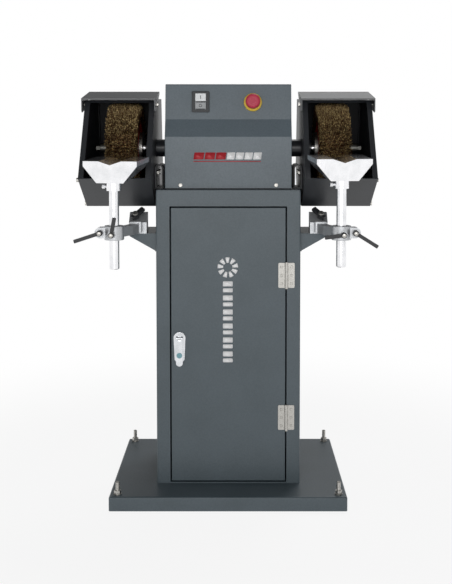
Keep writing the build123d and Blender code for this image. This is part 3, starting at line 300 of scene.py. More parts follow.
@dataclass(frozen=True)
class Moulded(Finish):
    """Moulded plastic or rubber: nearly one colour, with spark-eroded grain and soft flow marks."""

    flow: str = "#101112"
    grain_mm: float = 0.9
    grain_depth_mm: float = 0.02
    ior: float = 1.49

    def detail(self, tree: bpy.types.NodeTree, place: bpy.types.NodeSocket, surface: bpy.types.Node) -> None:
        """Flow marks are about 12 mm long, and the grain is drawn a little coarser than the real one."""
        flow = add_node(
            tree, "ShaderNodeTexNoise", {"Vector": place, "Scale": per_metre(12), "Distortion": 0.8}
        )
        share = add_node(tree, "ShaderNodeMapRange", {
            "Value": flow.outputs["Fac"], "From Min": 0.35, "From Max": 0.9, "To Max": 0.5,
        })
        grain = add_node(
            tree, "ShaderNodeTexNoise", {"Vector": place, "Scale": per_metre(self.grain_mm), "Detail": 3.0}
        )
        rough = add_node(tree, "ShaderNodeMapRange", {
            "Value": grain.outputs["Fac"], "To Min": self.roughness - 0.05, "To Max": self.roughness + 0.05,
        })
        bump = add_node(tree, "ShaderNodeBump", {
            "Height": grain.outputs["Fac"], "Strength": 0.5, "Distance": self.grain_depth_mm * MM,
        })
        feed(tree, surface, {
            "Base Color": self.tint(tree, share.outputs["Result"], self.flow),
            "Roughness": rough.outputs["Result"],
            "Normal": bump.outputs["Normal"], "IOR": self.ior,
        })


@dataclass(frozen=True)
class StackedSheets(Finish):
    """A stack of varnished electrical steel sheets: thin lines across the spindle."""

    varnish: str = "#4A3A2C"
    sheet_mm: float = 2.0

    def detail(self, tree: bpy.types.NodeTree, place: bpy.types.NodeSocket, surface: bpy.types.Node) -> None:
        """Real sheets are 0.5 mm thick; they are drawn four times as thick."""
        bands = add_node(tree, "ShaderNodeTexWave", {
            "Vector": place, "Scale": per_metre(self.sheet_mm) / 20 * pi, "Distortion": 0.2,
        }, bands_direction="X")
        bump = add_node(
            tree, "ShaderNodeBump", {"Height": bands.outputs["Fac"], "Strength": 0.5, "Distance": 0.1 * MM}
        )
        feed(tree, surface, {
            "Base Color": self.tint(tree, bands.outputs["Fac"], self.varnish),
            "Normal": bump.outputs["Normal"],
        })


@dataclass(frozen=True)
class BrassedWire(Finish):
    """Crimped steel wire with a brass wash, golden at the cut tips; its darkening towards the hub is painted
    shade of the dense brush.
    """

    tip: str = "#F2D79C"

    def detail(self, tree: bpy.types.NodeTree, place: bpy.types.NodeSocket, surface: bpy.types.Node) -> None:
        """Each wire carries its own tone from dull to golden, times a painted shade that darkens it towards
        the hub, in the attribute wire_tone_and_shade.
        """
        tone = add_node(tree, "ShaderNodeAttribute", attribute_name="wire_tone_and_shade").outputs["Fac"]
        soot = add_node(tree, "ShaderNodeTexNoise", {"Vector": place, "Scale": per_metre(5), "Detail": 2.0})
        dull = add_node(tree, "ShaderNodeMath", {0: tone, 1: soot.outputs["Fac"]}, operation="MULTIPLY")
        share = add_node(
            tree, "ShaderNodeMapRange", {"Value": dull.outputs[0], "From Min": 0.08, "From Max": 0.5}
        )
        feed(tree, surface, {"Base Color": self.tint(tree, share.outputs["Result"], self.tip)})


@dataclass(frozen=True)
class PrintedInk(Finish):
    """Screen-printed ink on paint: an even film with a faint mesh of pinholes."""

    under: str = "#5A5F63"
    mesh_mm: float = 0.8

    def detail(self, tree: bpy.types.NodeTree, place: bpy.types.NodeSocket, surface: bpy.types.Node) -> None:
        """The pinholes of a real screen are 0.2 mm apart; they are drawn coarser."""
        holes = add_node(
            tree, "ShaderNodeTexNoise", {"Vector": place, "Scale": per_metre(self.mesh_mm), "Detail": 2.0}
        )
        share = add_node(tree, "ShaderNodeMapRange", {
            "Value": holes.outputs["Fac"], "From Min": 0.62, "From Max": 0.8, "To Max": 0.12,
        })
        feed(tree, surface, {"Base Color": self.tint(tree, share.outputs["Result"], self.under), "IOR": 1.5})


FINISHES: dict[str, Finish] = {
    # Satin slate powder coat, rolled steel sheet under it.
    "cabinet_paint": PowderCoat("slate_powder_coat", "#4F5B62", 0.46, cloud="#465258"),
    "head_paint": PowderCoat("light_slate_powder_coat", "#5C6870", 0.44, cloud="#525E65"),
    # Dark guards in a rougher, finely textured coat.
    "guard_paint": PowderCoat(
        "graphite_textured_coat", "#212429", 0.5, cloud="#1B1E22", peel_mm=2.2, peel_depth_mm=0.08
    ),
    "visor_paint": PowderCoat("graphite_satin_coat", "#3A3D41", 0.36, cloud="#313438"),
    # Ground and turned steel, nearly white under soft light.
    "machined_steel": MachinedMetal("bright_machined_steel", "#F1F1F3", 0.22, 1.0, stain="#E0E1E3"),
    "cast_aluminium": CastMetal("blasted_cast_aluminium", "#CDCFD1", 0.42, 0.8, pit="#A2A5A9"),
    "zinc_steel": PlatedSteel("zinc_plated_steel", "#BDBBB6", 0.32, 1.0, shadow="#979590"),
    # Zinc-plated screws and spacers inside the guards, in a darker copy of the zinc finish: painted shade of
    # the guards' interior.
    "dull_steel": PlatedSteel("shade_darkened_zinc_steel", "#74746F", 0.42, 1.0, shadow="#565653"),
    "satin_chrome": MachinedMetal(
        "satin_chrome_plate", "#DEE0E3", 0.24, 1.0, lay=Lay.AROUND_Z, stain="#C8CBCE"
    ),
    # Dark blue-black enamel on the spindle tubes and end shields.
    "spindle_black": PowderCoat("blue_black_enamel", "#22252C", 0.34, cloud="#1B1E24", peel_mm=5.0),
    "motor_enamel": CastMetal("enamelled_cast_iron", "#3C4044", 0.5, pit="#2C2F33"),
    "electrical_steel": StackedSheets("varnished_steel_stack", "#7A746C", 0.45, 1.0),
    "bearing_steel": MachinedMetal("ground_bearing_steel", "#D9DBDD", 0.2, 1.0, lay=Lay.AROUND_X),
    "brush_wire": BrassedWire("brassed_crimped_wire", "#56381F", 0.4, 0.7),
    "core_red": Moulded("red_moulded_hub", "#8E2A1E", 0.42, flow="#6B1E16"),
    "lever_black": Moulded("glass_filled_nylon", "#26272A", 0.42, flow="#1B1C1E"),
    "black_plastic": Moulded("black_abs", "#2E3033", 0.38, flow="#242629"),
    "white_plastic": Moulded("white_abs", "#F2F4F5", 0.28, flow="#E4E7E9"),
    "grey_plastic": Moulded("light_grey_abs", "#A9ABAD", 0.3, flow="#8F9194"),
    "yellow_plastic": Moulded("signal_yellow_nylon", "#E8C43C", 0.35, flow="#D4AF2C"),
    "red_plastic": Moulded("signal_red_nylon", "#C4354F", 0.4, flow="#B02C45"),
    "teal_plastic": Moulded("teal_acetal", "#86B6C0", 0.25, flow="#74A6B1"),
    "black_rubber": Moulded("nitrile_rubber", "#1D1D1E", 0.7, flow="#151516", grain_depth_mm=0.05, ior=1.52),
}
RED_INK = PrintedInk("red_screen_ink", "#B5242E", 0.42)
WHITE_INK = PrintedInk("white_screen_ink", "#FFFFFF", 0.35, under="#D8DADC")
GREY_INK = PrintedInk("grey_screen_ink", "#9A9DA0", 0.42, under="#B8BABC")
# Dark ink for the printed off ring, also used as painted shade along the off button's edges.
DARK_INK_AND_EDGE_SHADE = PrintedInk("dark_ink_and_edge_shade", "#3A3C3F", 0.42, under="#55585C")


# ---------------------------------------------------------------- shapes
@dataclass
class Shape:
    """Points and faces on their way into one mesh. Each face array has one row for each face."""

    points: np.ndarray
    faces: list[np.ndarray]
    tones: np.ndarray | None = None

    def __add__(self, other: "Shape") -> "Shape":
        """Two shapes as one."""
        moved = [faces + len(self.points) for faces in other.faces]
        return Shape(np.vstack([self.points, other.points]), self.faces + moved)

    def piece(self, name: str, finish: Finish, body: str, slot: str, smooth: bool = True) -> bpy.types.Object:
        """Makes the shape an object that rides on a body.

        Args:
            name: The piece's name.
            finish: What it is made of.
            body: The CAD body that carries it.
            slot: The record's material slot; not used.
            smooth: Whether its faces are shaded as one curved skin.

        Returns:
            The new object.
        """
        corners = np.concatenate([faces.ravel() for faces in self.faces])
        sizes = np.concatenate([np.full(len(faces), faces.shape[1]) for faces in self.faces])
        mesh = bpy.data.meshes.new(name)
        mesh.vertices.add(len(self.points))
        mesh.vertices.foreach_set("co", self.points.astype(np.float32).ravel())
        mesh.loops.add(len(corners))
        mesh.loops.foreach_set("vertex_index", corners.astype(np.int32))
        mesh.polygons.add(len(sizes))
        mesh.polygons.foreach_set("loop_start", (np.cumsum(sizes) - sizes).astype(np.int32))
        mesh.update(calc_edges=True)
        if smooth:
            mesh.shade_smooth()
        if self.tones is not None:
            mesh.attributes.new("wire_tone_and_shade", "FLOAT", "POINT").data.foreach_set(
                "value", self.tones.astype(np.float32)
            )
        mesh.materials.append(finish.material())
        made = bpy.data.objects.new(name, mesh)
        bpy.context.scene.collection.objects.link(made)
        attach(made, body)
        return made


def unit(vectors: np.ndarray) -> np.ndarray:
    """Vectors of length one along the last axis."""
    return vectors / np.linalg.norm(vectors, axis=-1, keepdims=True)


def tubes(paths: np.ndarray, radius: float | np.ndarray, sides: int, hint: np.ndarray) -> Shape:
    """Sweeps a regular polygon along many paths at once and closes both ends.

    At each point of a path the ring lies square to the path: one ring axis is the hint with its part
    along the path taken away, and the other is the cross product of the two.

    Args:
        paths: Path points, by path, step and coordinate.
        radius: The tubes' radius, or one for each path and step.
        sides: How many sides a tube has.
        hint: A direction that no path runs along, or one for each path.

    Returns:
        All the tubes as one shape.
    """
    count, steps = paths.shape[:2]
    along = unit(np.gradient(paths, axis=1))
    across = np.broadcast_to(hint.reshape(-1, 1, 3), along.shape)
    across = unit(across - along * (across * along).sum(-1, keepdims=True))
    third = np.cross(along, across)
    turn = np.arange(sides) * 2 * pi / sides
    reach = np.broadcast_to(np.asarray(radius, float), (count, steps))[..., None, None]
    ring = across[:, :, None] * np.cos(turn)[:, None] + third[:, :, None] * np.sin(turn)[:, None]
    points = (paths[:, :, None] + ring * reach).reshape(-1, 3)
    index = np.arange(count * steps * sides).reshape(count, steps, sides)
    low, high = index[:, :-1], index[:, 1:]
    quads = np.stack([low, np.roll(low, -1, 2), np.roll(high, -1, 2), high], -1).reshape(-1, 4)
    return Shape(points, [quads, index[:, 0, ::-1], index[:, -1]])


def lathe(
    profile: np.ndarray, origin: np.ndarray, axis: np.ndarray, side: np.ndarray, steps: int = 48
) -> Shape:
    """Turns a profile about an axis, with both its ends on the axis or the profile itself closed.

    Args:
        profile: Radius and height of each point, from the bottom up. A radius of zero at both ends closes it.
        origin: The foot of the axis.
        axis: The axis's direction.
        side: A direction square to the axis.
        steps: How many steps go round.

    Returns:
        The turned shape.
    """
    turn = np.arange(steps) * 2 * pi / steps
    third = np.cross(axis, side)
    ring = side * np.cos(turn)[:, None] + third * np.sin(turn)[:, None]
    inner = profile[1:-1]
    points = origin + ring[None] * inner[:, 0, None, None] + axis * inner[:, 1, None, None]
    points = np.vstack([points.reshape(-1, 3), origin + axis * profile[0, 1], origin + axis * profile[-1, 1]])
    index = np.arange(len(inner) * steps).reshape(len(inner), steps)
    low, high = index[:-1], index[1:]
    quads = np.stack([low, np.roll(low, -1, 1), np.roll(high, -1, 1), high], -1).reshape(-1, 4)
    foot, top = len(points) - 2, len(points) - 1
    fans = [
        np.stack([np.full(steps, foot), np.roll(index[0], -1), index[0]], -1),
        np.stack([np.full(steps, top), index[-1], np.roll(index[-1], -1)], -1),
    ]
    return Shape(points, [quads, *fans])


def plates(
    outlines: list[Outline], origin: np.ndarray, right: np.ndarray, up: np.ndarray, rise: float
) -> Shape:
    """Flat plates that stand a little proud of a face.

    Args:
        outlines: Anticlockwise outlines, as distances to the right and up from the origin.
        origin: A point on the face.
        right: The face's rightward direction.
        up: The face's upward direction.
        rise: How far the plates stand proud; they start as far inside the face.

    Returns:
        All the plates as one shape.
    """
    out = np.cross(right, up)
    made = None
    for outline in outlines:
        flat = origin + outline[:, :1] * right + outline[:, 1:] * up
        count = len(outline)
        low, high = np.arange(count), np.arange(count) + count
        walls = np.stack([low, np.roll(low, -1), np.roll(high, -1), high], -1)
        plate = Shape(np.vstack([flat - out * rise, flat + out * rise]), [walls, low[None, ::-1], high[None]])
        made = plate if made is None else made + plate
    return made


def oblong(left: float, right: float, low: float, high: float, corner: float, slant: float = 0.0) -> Outline:
    """A rectangle with round corners, its top moved sideways by the slant.

    Args:
        left, right, low, high: Its four sides.
        corner: The corners' radius.
        slant: How far the top is moved to the right.

    Returns:
        The outline, anticlockwise.
    """
    turn = np.radians(np.arange(0, 360, 15).reshape(4, 6))
    turn = np.hstack([turn, turn[:, -1:] + radians(15)])
    across = np.array([right - corner, left + corner, left + corner, right - corner])[:, None]
    above = np.array([high - corner, high - corner, low + corner, low + corner])[:, None]
    x = (across + corner * np.cos(turn)).ravel()
    y = (above + corner * np.sin(turn)).ravel()
    return np.stack([x + slant * (y - low) / (high - low), y], -1)


def ring_share(inner: float, outer: float, start: float, end: float, steps: int = 12) -> Outline:
    """Part of a flat ring between two angles.

    Args:
        inner, outer: Its radii.
        start, end: Its angles in degrees.
        steps: How many steps each arc has.

    Returns:
        The outline, anticlockwise.
    """
    turn = np.radians(np.linspace(start, end, steps))
    arc = np.stack([np.cos(turn), np.sin(turn)], -1)
    return np.vstack([outer * arc, inner * arc[::-1]])


def node_points(node: str) -> np.ndarray:
    """All the points of a CAD node."""
    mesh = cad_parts[node].data
    points = np.empty(len(mesh.vertices) * 3, np.float32)
    mesh.vertices.foreach_get("co", points)
    return points.reshape(-1, 3).astype(float)


# ---------------------------------------------------------------- brushes
@dataclass
class WireBrush:
    """A wide drum brush: crimped wires that fan out from the hub, over a ring of matted wire at the hub whose
    dark colour is painted shade of the dense root.
    """

    side: Side
    wires: int = 8400
    pieces: int = 2
    wire_radius: float = 0.42 * MM
    crimp: float = 1.1 * MM
    rings: int = 8
    stray: float = 2.2 * MM
    shoulder: float = 5.0 * MM
    seed: int = 11
    middle: np.ndarray = field(init=False)

    def __post_init__(self) -> None:
        """Reads the brush's place from its fill and its hub."""
        low, high = (np.array(v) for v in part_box(self.fill))
        self.middle = (low + high) / 2
        self.tip_radius = (high[2] - low[2]) / 2
        self.tip_half = (high[0] - low[0]) / 2
        hub_low, hub_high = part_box("brush_cores")
        self.root_radius = (hub_high[2] - hub_low[2]) / 2
        self.root_half = hub_high[0] - abs(self.middle[0])

    @property
    def fill(self) -> str:
        """The plain CAD solid that the wires stand for."""
        return f"brush_fill_{self.side.label}"

    def paths(self, draw: np.random.Generator) -> np.ndarray:
        """The wires' paths.

        Wire number n leaves the hub at an angle of n golden shares of a turn, so wires spread evenly.
        Its width share goes evenly from one face of the brush to the other. Along the wire the width
        grows from the hub's to the tips' with an easing curve, each step is set off to alternate sides
        for the crimp, and a slow lean is added that differs from wire to wire.
        """
        number = np.arange(self.wires)
        jitter = draw.uniform(-1, 1, (self.wires, 6))
        angle = (number * GOLDEN_SHARE % 1) * 2 * pi + jitter[:, 0] * 0.02
        share = np.clip(((number + 0.5) / self.wires * 2 - 1) + jitter[:, 1] * 0.03, -1, 1)
        along = np.linspace(0, 1, self.rings)[None]
        top = self.tip_radius - self.shoulder * np.abs(share) ** 8 - self.stray * np.abs(jitter[:, 2])
        reach = self.root_radius - MM + (top - self.root_radius + MM)[:, None] * along
        half = self.root_half * 0.96 + (self.tip_half - self.root_half * 0.96) * (1 - (1 - along) ** 2.2)
        kink = (-1.0) ** np.arange(self.rings)[None] * self.crimp * np.minimum(along * 6, 1)
        plane = jitter[:, 3, None] * pi
        wide = (
            share[:, None] * (half - self.crimp) + kink * np.cos(plane)
            + jitter[:, 4, None] * along**2 * 1.5 * MM
        )
        swing = (kink * np.sin(plane) + jitter[:, 5, None] * along**2 * 3 * MM) / reach
        turned = angle[:, None] + swing
        offsets = np.stack([wide, reach * np.cos(turned), reach * np.sin(turned)], -1)
        return self.middle + offsets

    def build(self) -> list[bpy.types.Object]:
        """Makes the wires in a few pieces, and the matted root under them."""
        draw = np.random.default_rng(self.seed + self.side.value)
        paths = self.paths(draw)
        tones = draw.uniform(0, 1, self.wires)
        made = []
        sides = 3
        for part in range(self.pieces):
            chosen = slice(part, None, self.pieces)
            shape = tubes(paths[chosen], self.wire_radius, sides, X_AXIS + 0.3 * Y_AXIS)
            # Painted shade: each wire's tone fades to dark towards the hub, where the dense wires shade each
            # other.
            hub_shade_ramp = np.linspace(0.3, 1, self.rings)[None] ** 2.5
            shape.tones = np.repeat((tones[chosen, None] * hub_shade_ramp).ravel(), sides)
            name = f"brush_wires_{self.side.label}_{part + 1}"
            made.append(shape.piece(name, FINISHES["brush_wire"], "spindle", "brush_wire", smooth=False))
        made.append(self.root().piece(
            f"brush_root_{self.side.label}", FINISHES["brush_wire"], "spindle", "brush_wire"))
        for wires in made:
            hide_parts(self.fill)
        return made

    def root(self) -> Shape:
        """A closed ring of matted wire round the hub, with a ragged crown.

        The cross-section is a rounded box. Round the ring, its height is rippled by two sine waves.
        """
        steps, sides = 160, 12
        turn = np.arange(steps) * 2 * pi / steps
        corner = np.arange(sides) * 2 * pi / sides
        box = np.stack([np.cos(corner), np.sin(corner)], -1)
        box = box / np.maximum(
            np.abs(box[:, :1]), np.abs(box[:, 1:])
        ) * (1 - 0.08 * (np.abs(box).min(1) > 0.6))[:, None]
        depth = 11 * MM
        ripple = 1.5 * MM * (np.sin(23 * turn) + np.sin(37 * turn))[:, None] * (box[:, 1] > 0.5)
        radius = self.root_radius + depth * (1 + box[:, 1]) - 0.5 * MM + ripple
        wide = np.broadcast_to(box[:, 0] * (self.root_half + 1.5 * MM), radius.shape)
        points = np.stack(
            [wide, radius * np.cos(turn)[:, None], radius * np.sin(turn)[:, None]], -1
        ) + self.middle
        index = np.arange(steps * sides).reshape(steps, sides)
        after = np.roll(index, -1, 0)
        quads = np.stack([index, np.roll(index, -1, 1), np.roll(after, -1, 1), after], -1).reshape(-1, 4)
        # A low tone keeps the ring at the wire's darkest colour: real matted wire, darkened as painted shade
        # of the dense root.
        tones = np.full(steps * sides, 0.12)
        return Shape(points.reshape(-1, 3), [quads[:, ::-1]], tones)


# ---------------------------------------------------------------- printed marks
@dataclass
class HeadStripe:
    """A plain two-colour stripe of slanted bars across the front of the head, with a thin rule under it."""

    left: float = -75 * MM
    right: float = 70 * MM
    middle_z: float = 741 * MM
    height: float = 15 * MM
    gap: float = 2.2 * MM
    film: float = 0.15 * MM
    red_bars: int = 3
    white_bars: int = 4
    red_share: float = 0.475

    def bars(self, start: float, end: float, count: int) -> list[Outline]:
        """Slanted bars of equal width between two distances."""
        width = (end - start + self.gap) / count
        low, high = -self.height / 2, self.height / 2
        return [
            oblong(start + i * width, start + (i + 1) * width - self.gap, low, high, 1.2 * MM, 2.5 * MM)
            for i in range(count)
        ]

    def build(self) -> list[bpy.types.Object]:
        """Prints the red bars with the rule, and the white bars."""
        face_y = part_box("head_cover")[0].y
        origin = np.array([0, face_y, self.middle_z])
        change = self.left + (self.right - self.left) * self.red_share
        rule = oblong(self.left, self.right, -self.height * 0.84, -self.height * 0.72, 0.4 * MM)
        red = plates([*self.bars(self.left, change, self.red_bars), rule], origin, X_AXIS, Z_AXIS, self.film)
        white = plates(
            self.bars(change + self.gap, self.right, self.white_bars), origin, X_AXIS, Z_AXIS, self.film
        )
        return [
            red.piece("head_stripe_red", RED_INK, "stand", "red_plastic", smooth=False),
            white.piece("head_stripe_white", WHITE_INK, "stand", "white_plastic", smooth=False),
        ]


@dataclass
class DoorMark:
    """A plain wheel of radial dashes over a column of bars, printed white on the door."""

    x: float = -1 * MM
    wheel_z: float = 502 * MM
    wheel_radius: float = 22 * MM
    dashes: int = 9
    column_top: float = 472 * MM
    column_bottom: float = 289 * MM
    column_width: float = 21 * MM
    bars: int = 6
    film: float = 0.15 * MM

    def build(self) -> list[bpy.types.Object]:
        """Prints the wheel and the column."""
        face_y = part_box("door_panel")[0].y
        origin = np.array([self.x, face_y, self.wheel_z])
        step = 360 / self.dashes
        outlines = [
            ring_share(self.wheel_radius * 0.45, self.wheel_radius, i * step, i * step + step * 0.62, 8)
            for i in range(self.dashes)
        ]
        pitch = (self.column_top - self.column_bottom) / self.bars
        half = self.column_width / 2
        for i in range(self.bars):
            top = self.column_top - i * pitch - self.wheel_z
            outlines.append(oblong(-half, half, top - pitch * 0.78, top - pitch * 0.5, 1.5 * MM))
            outlines.append(oblong(-half, half, top - pitch * 0.36, top, 1.5 * MM))
        shape = plates(outlines, origin, X_AXIS, Z_AXIS, self.film)
        return [shape.piece("door_mark", WHITE_INK, "door", "white_plastic", smooth=False)]


@dataclass
class Controls:
    """Marks on the leaning control panel: on and off signs and the arrows of the emergency stop."""

    lean_degrees: float = 8.2
    film: float = 0.12 * MM

    def face(self, node: str) -> tuple[np.ndarray, np.ndarray]:
        """The middle of a control's front face.

        Args:
            node: The CAD node of the control.

        Returns:
            The middle point, and half the face's width and height.
        """
        lean = radians(self.lean_degrees)
        out, up = np.array([0, -cos(lean), sin(lean)]), self.up
        points = node_points(node)
        depth = points @ out
        front = points[depth > depth.max() - 0.1 * MM]
        x, rise = front[:, 0], front @ up
        middle = X_AXIS * (x.min() + x.max()) / 2 + up * (rise.min() + rise.max()) / 2 + out * depth.max()
        return middle, np.array([np.ptp(x), np.ptp(rise)]) / 2

    @property
    def up(self) -> np.ndarray:
        """The direction up the panel."""
        lean = radians(self.lean_degrees)
        return np.array([0, sin(lean), cos(lean)])

    def build(self) -> list[bpy.types.Object]:
        """Makes the on bar, the off ring, dark bars of painted shade along the off button's top and bottom
        edges, and the stop's arrows.
        """
        made = []
        start, _ = self.face("start_button")
        on_bar = plates(
            [oblong(-0.9 * MM, 0.9 * MM, -4 * MM, 4 * MM, 0.4 * MM)], start, X_AXIS, self.up, self.film
        )
        made.append(on_bar.piece("start_sign", GREY_INK, "start_button", "grey_plastic", smooth=False))
        stop, half = self.face("stop_button")
        sign = [ring_share(2.3 * MM, 3.4 * MM, i * 90, i * 90 + 90, 9) for i in range(4)]
        # Painted shade: two dark bars along the top and bottom edges of the off button, where it meets its
        # frame.
        edge = half[1] - 0.6 * MM
        sign += [
            oblong(-half[0] * 0.92, half[0] * 0.92, s - 0.9 * MM, s + 0.9 * MM, 0.5 * MM)
            for s in (-edge, edge)
        ]
        off_ring = plates(sign, stop, X_AXIS, self.up, self.film)
        made.append(off_ring.piece("stop_sign_and_edge_shade", DARK_INK_AND_EDGE_SHADE, "stop_button", "black_plastic", smooth=False))
        made.append(self.arrows())
        return made

    def arrows(self) -> bpy.types.Object:
        """Three curved arrows, low and wide, that say which way the stop is released."""
        top, _ = self.face("estop_head")
        outlines = []
        for start in (20, 140, 260):
            outlines.append(ring_share(6.2 * MM, 7.2 * MM, start, start + 62, 10))
            turn = np.radians([start + 60, start + 60, start + 84])
            reach = np.array([5.2, 8.2, 6.7]) * MM
            outlines.append(np.stack([reach * np.cos(turn), reach * np.sin(turn)], -1))
        shape = plates(outlines, top, X_AXIS, self.up, self.film)
        # The arrows are moulded in the head's own red; their paler red is a painted highlight on the raised
        # relief.
        highlit_red = Moulded("signal_red_painted_highlight", "#CF5A6E", 0.4, flow="#C04A60")
        return shape.piece("estop_arrows", highlit_red, "estop_head", "red_plastic", smooth=False)


# ---------------------------------------------------------------- fittings
@dataclass
class LeverCaps:
    """Bright domed caps that close the hubs of the clamp levers."""

    radius: float = 4.4 * MM
    cross_radius: float = 6.2 * MM
    dome: float = 1.6 * MM

    def profile(self, radius: float) -> np.ndarray:
        """A short straight rim and then a quarter of a flat dome, whose height follows a circle.

        Args:
            radius: The cap's radius.

        Returns:
            Radius and height of each point, from the bottom up.
        """
        turn = np.linspace(0, pi / 2, 9)
        dome = np.stack([radius * np.cos(turn), self.dome * (0.3 + 0.7 * np.sin(turn))], -1)
        dome[-1, 0] = 0
        return np.vstack([[0, -0.6 * MM], [radius, -0.6 * MM], dome])

    def build(self) -> list[bpy.types.Object]:
        """Caps the three levers on each side."""
        made = []
        for side in Side:
            for kind in ("ear", "front", "reach"):
                body = f"{kind}_lever_{side.label}"
                points = node_points(body)
                slanted = kind == "reach"
                axis = unit(Z_AXIS - Y_AXIS) if slanted else -Y_AXIS
                depth = points @ axis
                cap = points[depth > depth.max() - 0.05 * MM]
                middle = (cap.min(0) + cap.max(0)) / 2
                profile = self.profile(self.cross_radius if slanted else self.radius)
                shape = lathe(profile, middle, axis, X_AXIS, 32)
                made.append(
                    shape.piece(f"{kind}_lever_cap_{side.label}", FINISHES["zinc_steel"], body, "zinc_steel")
                )
        return made


@dataclass
class StudThreads:
    """The thread that shows on the levelling studs above their nuts."""

    radius: float = 3.9 * MM
    ridge: float = 0.42 * MM
    pitch: float = 1.25 * MM
    bare: float = 1.2 * MM

    def build(self) -> list[bpy.types.Object]:
        """Winds one ridge round each stud: the angle grows evenly and the height with it."""
        low, high = (np.array(v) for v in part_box("foot_studs"))
        pad_low, pad_high = (np.array(v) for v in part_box("foot_pads"))
        middle = (pad_low + pad_high) / 2
        reach = (high - low) / 2
        half = np.array([reach[0], reach[1]]) - 8.5 * MM
        top = high[2] - self.bare
        start = top - 15 * MM
        turns = (top - start) / self.pitch
        step = np.linspace(0, 1, int(turns * 14))
        turn = step * turns * 2 * pi
        spiral = np.stack(
            [self.radius * np.cos(turn), self.radius * np.sin(turn), start + (top - start) * step], -1
        )
        feet = np.array([[sx * half[0], middle[1] + sy * half[1], 0] for sx in (-1, 1) for sy in (-1, 1)])
        paths = feet[:, None] + spiral[None]
        shape = tubes(paths, self.ridge, 4, Z_AXIS)
        return [shape.piece("stud_threads", FINISHES["zinc_steel"], "stand", "zinc_steel")]


@dataclass
class WeldBeads:
    """Painted fillet welds where the shelves meet the cabinet's sides."""

    radius: float = 2.4 * MM
    ripple: float = 0.35 * MM
    ripple_pitch: float = 4.0 * MM

    def build(self) -> list[bpy.types.Object]:
        """Lays a bead along the top of each shelf; its radius goes up and down like a sine wave."""
        low, high = (np.array(v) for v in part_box("rest_brackets"))
        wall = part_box("cabinet_shell")[1].x
        length = high[1] - low[1] - 12 * MM
        steps = 140
        y = np.linspace(low[1] + 6 * MM, high[1] - 6 * MM, steps)
        swell = self.radius + self.ripple * np.sin(2 * pi * np.linspace(0, length / self.ripple_pitch, steps))
        paths = np.array([
            np.stack([np.full(steps, side.value * wall), y, np.full(steps, high[2])], -1) for side in Side
        ])
        shape = tubes(paths, np.stack([swell, swell]), 10, X_AXIS)
        return [shape.piece("shelf_welds", FINISHES["cabinet_paint"], "stand", "cabinet_paint")]


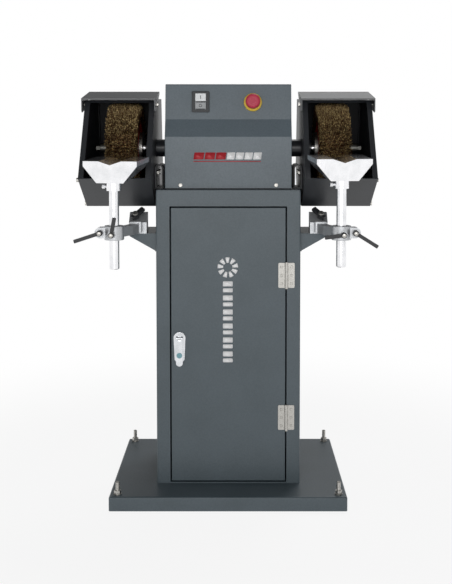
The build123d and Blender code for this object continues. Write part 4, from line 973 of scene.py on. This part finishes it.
# ---------------------------------------------------------------- studio
@dataclass
class Studio:
    """A pale floor, soft front light that weakens towards the ground, and the camera."""

    eye: tuple[float, float, float] = (0.0202, -2.0149, 0.7852)
    pitch_degrees: float = 3.25
    lens: float = 55.96
    shift: tuple[float, float] = (-0.02, -0.18)
    floor_radius: float = 14.0
    fade: tuple[float, float] = (0.5, 1.4)

    def build(self) -> None:
        """Makes the camera, the lights, the surroundings and the floor."""
        self.camera()
        self.lamp("front_light", (-0.15, -3.2, 1.12), (0, 0, 0.75), (2.4, 1.15), 27)
        self.lamp("back_light", (0.9, 2.2, 3.2), (0, 0, 0.6), (1.8, 1.4), 36)
        self.surroundings()
        self.floor()
        view = bpy.context.scene.view_settings
        view.view_transform = "Standard"

    def camera(self) -> None:
        """A nearly level camera; the frame is shifted down so that upright edges stay upright."""
        data = bpy.data.cameras.new("camera")
        data.lens, data.sensor_width = self.lens, 36.0
        data.shift_x, data.shift_y = self.shift
        made = bpy.data.objects.new("camera", data)
        made.location = self.eye
        made.rotation_euler = (radians(90 - self.pitch_degrees), 0, 0)
        bpy.context.scene.collection.objects.link(made)
        bpy.context.scene.camera = made

    def lamp(self, name: str, place: tuple, target: tuple, size: tuple[float, float], power: float) -> None:
        """Adds a soft box that only its light gives away.

        Args:
            name: The light's name.
            place: Where it hangs.
            target: What it points at.
            size: Its width and height.
            power: Its power in watts.
        """
        data = bpy.data.lights.new(name, "AREA")
        data.shape, data.size, data.size_y, data.energy = "RECTANGLE", *size, power
        made = bpy.data.objects.new(name, data)
        made.location = place
        aim = Vector(target) - Vector(place)
        made.rotation_euler = aim.to_track_quat("-Z", "Y").to_euler()
        made.visible_camera = False
        bpy.context.scene.collection.objects.link(made)

    def surroundings(self) -> None:
        """White behind the object; as light, bright round the horizon and dim overhead."""
        world = bpy.data.worlds.new("studio")
        bpy.context.scene.world = world
        world.use_nodes = True
        tree = world.node_tree
        tree.nodes.clear()
        up = add_node(tree, "ShaderNodeTexCoord").outputs["Generated"]
        height = add_node(tree, "ShaderNodeSeparateXYZ", {"Vector": up}).outputs["Z"]
        level = add_node(tree, "ShaderNodeMapRange", {
            "Value": height, "From Min": 0.08, "From Max": 0.4, "To Min": 1.1, "To Max": 0.16,
        }).outputs["Result"]
        seen = add_node(tree, "ShaderNodeLightPath").outputs["Is Camera Ray"]
        strength = add_node(tree, "ShaderNodeMix", {0: seen, 2: level, 3: 1.0}).outputs[0]
        light = add_node(tree, "ShaderNodeBackground", {"Color": (1, 1, 1, 1), "Strength": strength})
        add_node(tree, "ShaderNodeOutputWorld", {"Surface": light.outputs["Background"]})

    def floor(self) -> None:
        """A round floor: matt and pale near the object, and fading into the white surroundings."""
        turn = np.arange(96) * 2 * pi / 96
        rim = np.stack([np.cos(turn), np.sin(turn), turn * 0], -1) * self.floor_radius
        mesh = bpy.data.meshes.new("floor")
        mesh.from_pydata(rim.tolist(), [], [list(range(len(rim)))])
        made = bpy.data.objects.new("floor", mesh)
        bpy.context.scene.collection.objects.link(made)
        material = bpy.data.materials.new("pale_floor")
        material.use_nodes = True
        tree = material.node_tree
        tree.nodes.clear()
        place = add_node(tree, "ShaderNodeTexCoord").outputs["Object"]
        reach = add_node(tree, "ShaderNodeVectorMath", {0: place}, operation="LENGTH").outputs["Value"]
        share = add_node(tree, "ShaderNodeMapRange", {
            "Value": reach, "From Min": self.fade[0], "From Max": self.fade[1], "To Min": 0.88,
        }, interpolation_type="SMOOTHSTEP").outputs["Result"]
        soft = add_node(tree, "ShaderNodeLightPath").outputs["Is Diffuse Ray"]
        seen = add_node(tree, "ShaderNodeMath", {0: 1.0, 1: soft}, operation="SUBTRACT").outputs[0]
        white = add_node(tree, "ShaderNodeMath", {0: share, 1: seen}, operation="MULTIPLY").outputs[0]
        matt = add_node(tree, "ShaderNodeBsdfDiffuse", {"Color": (0.86, 0.86, 0.87, 1)}).outputs["BSDF"]
        glow = add_node(tree, "ShaderNodeEmission", {"Strength": 1.0}).outputs["Emission"]
        both = add_node(tree, "ShaderNodeMixShader", {0: white, 1: matt, 2: glow}).outputs["Shader"]
        add_node(tree, "ShaderNodeOutputMaterial", {"Surface": both})
        mesh.materials.append(material)


# ---------------------------------------------------------------- the whole machine
def dress_cad_nodes() -> int:
    """Puts each CAD node's finish in its slots and returns how many nodes were dressed."""
    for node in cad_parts.values():
        for slot in node.material_slots:
            slot.material = FINISHES[slot.material.name.split(".")[0]].material()
    return len(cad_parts)


def main() -> None:
    """Builds the studio and every piece."""
    logging.basicConfig(level=logging.INFO, format="%(name)s: %(message)s")
    Studio().build()
    LOG.info("dressed %d CAD nodes", dress_cad_nodes())
    makers = [
        *(WireBrush(side) for side in Side), HeadStripe(), DoorMark(), Controls(), LeverCaps(),
        StudThreads(), WeldBeads(),
    ]
    for maker in makers:
        for piece in maker.build():
            LOG.info("%s: %d faces", piece.name, len(piece.data.polygons))


if __name__ == "__main__":
    main()
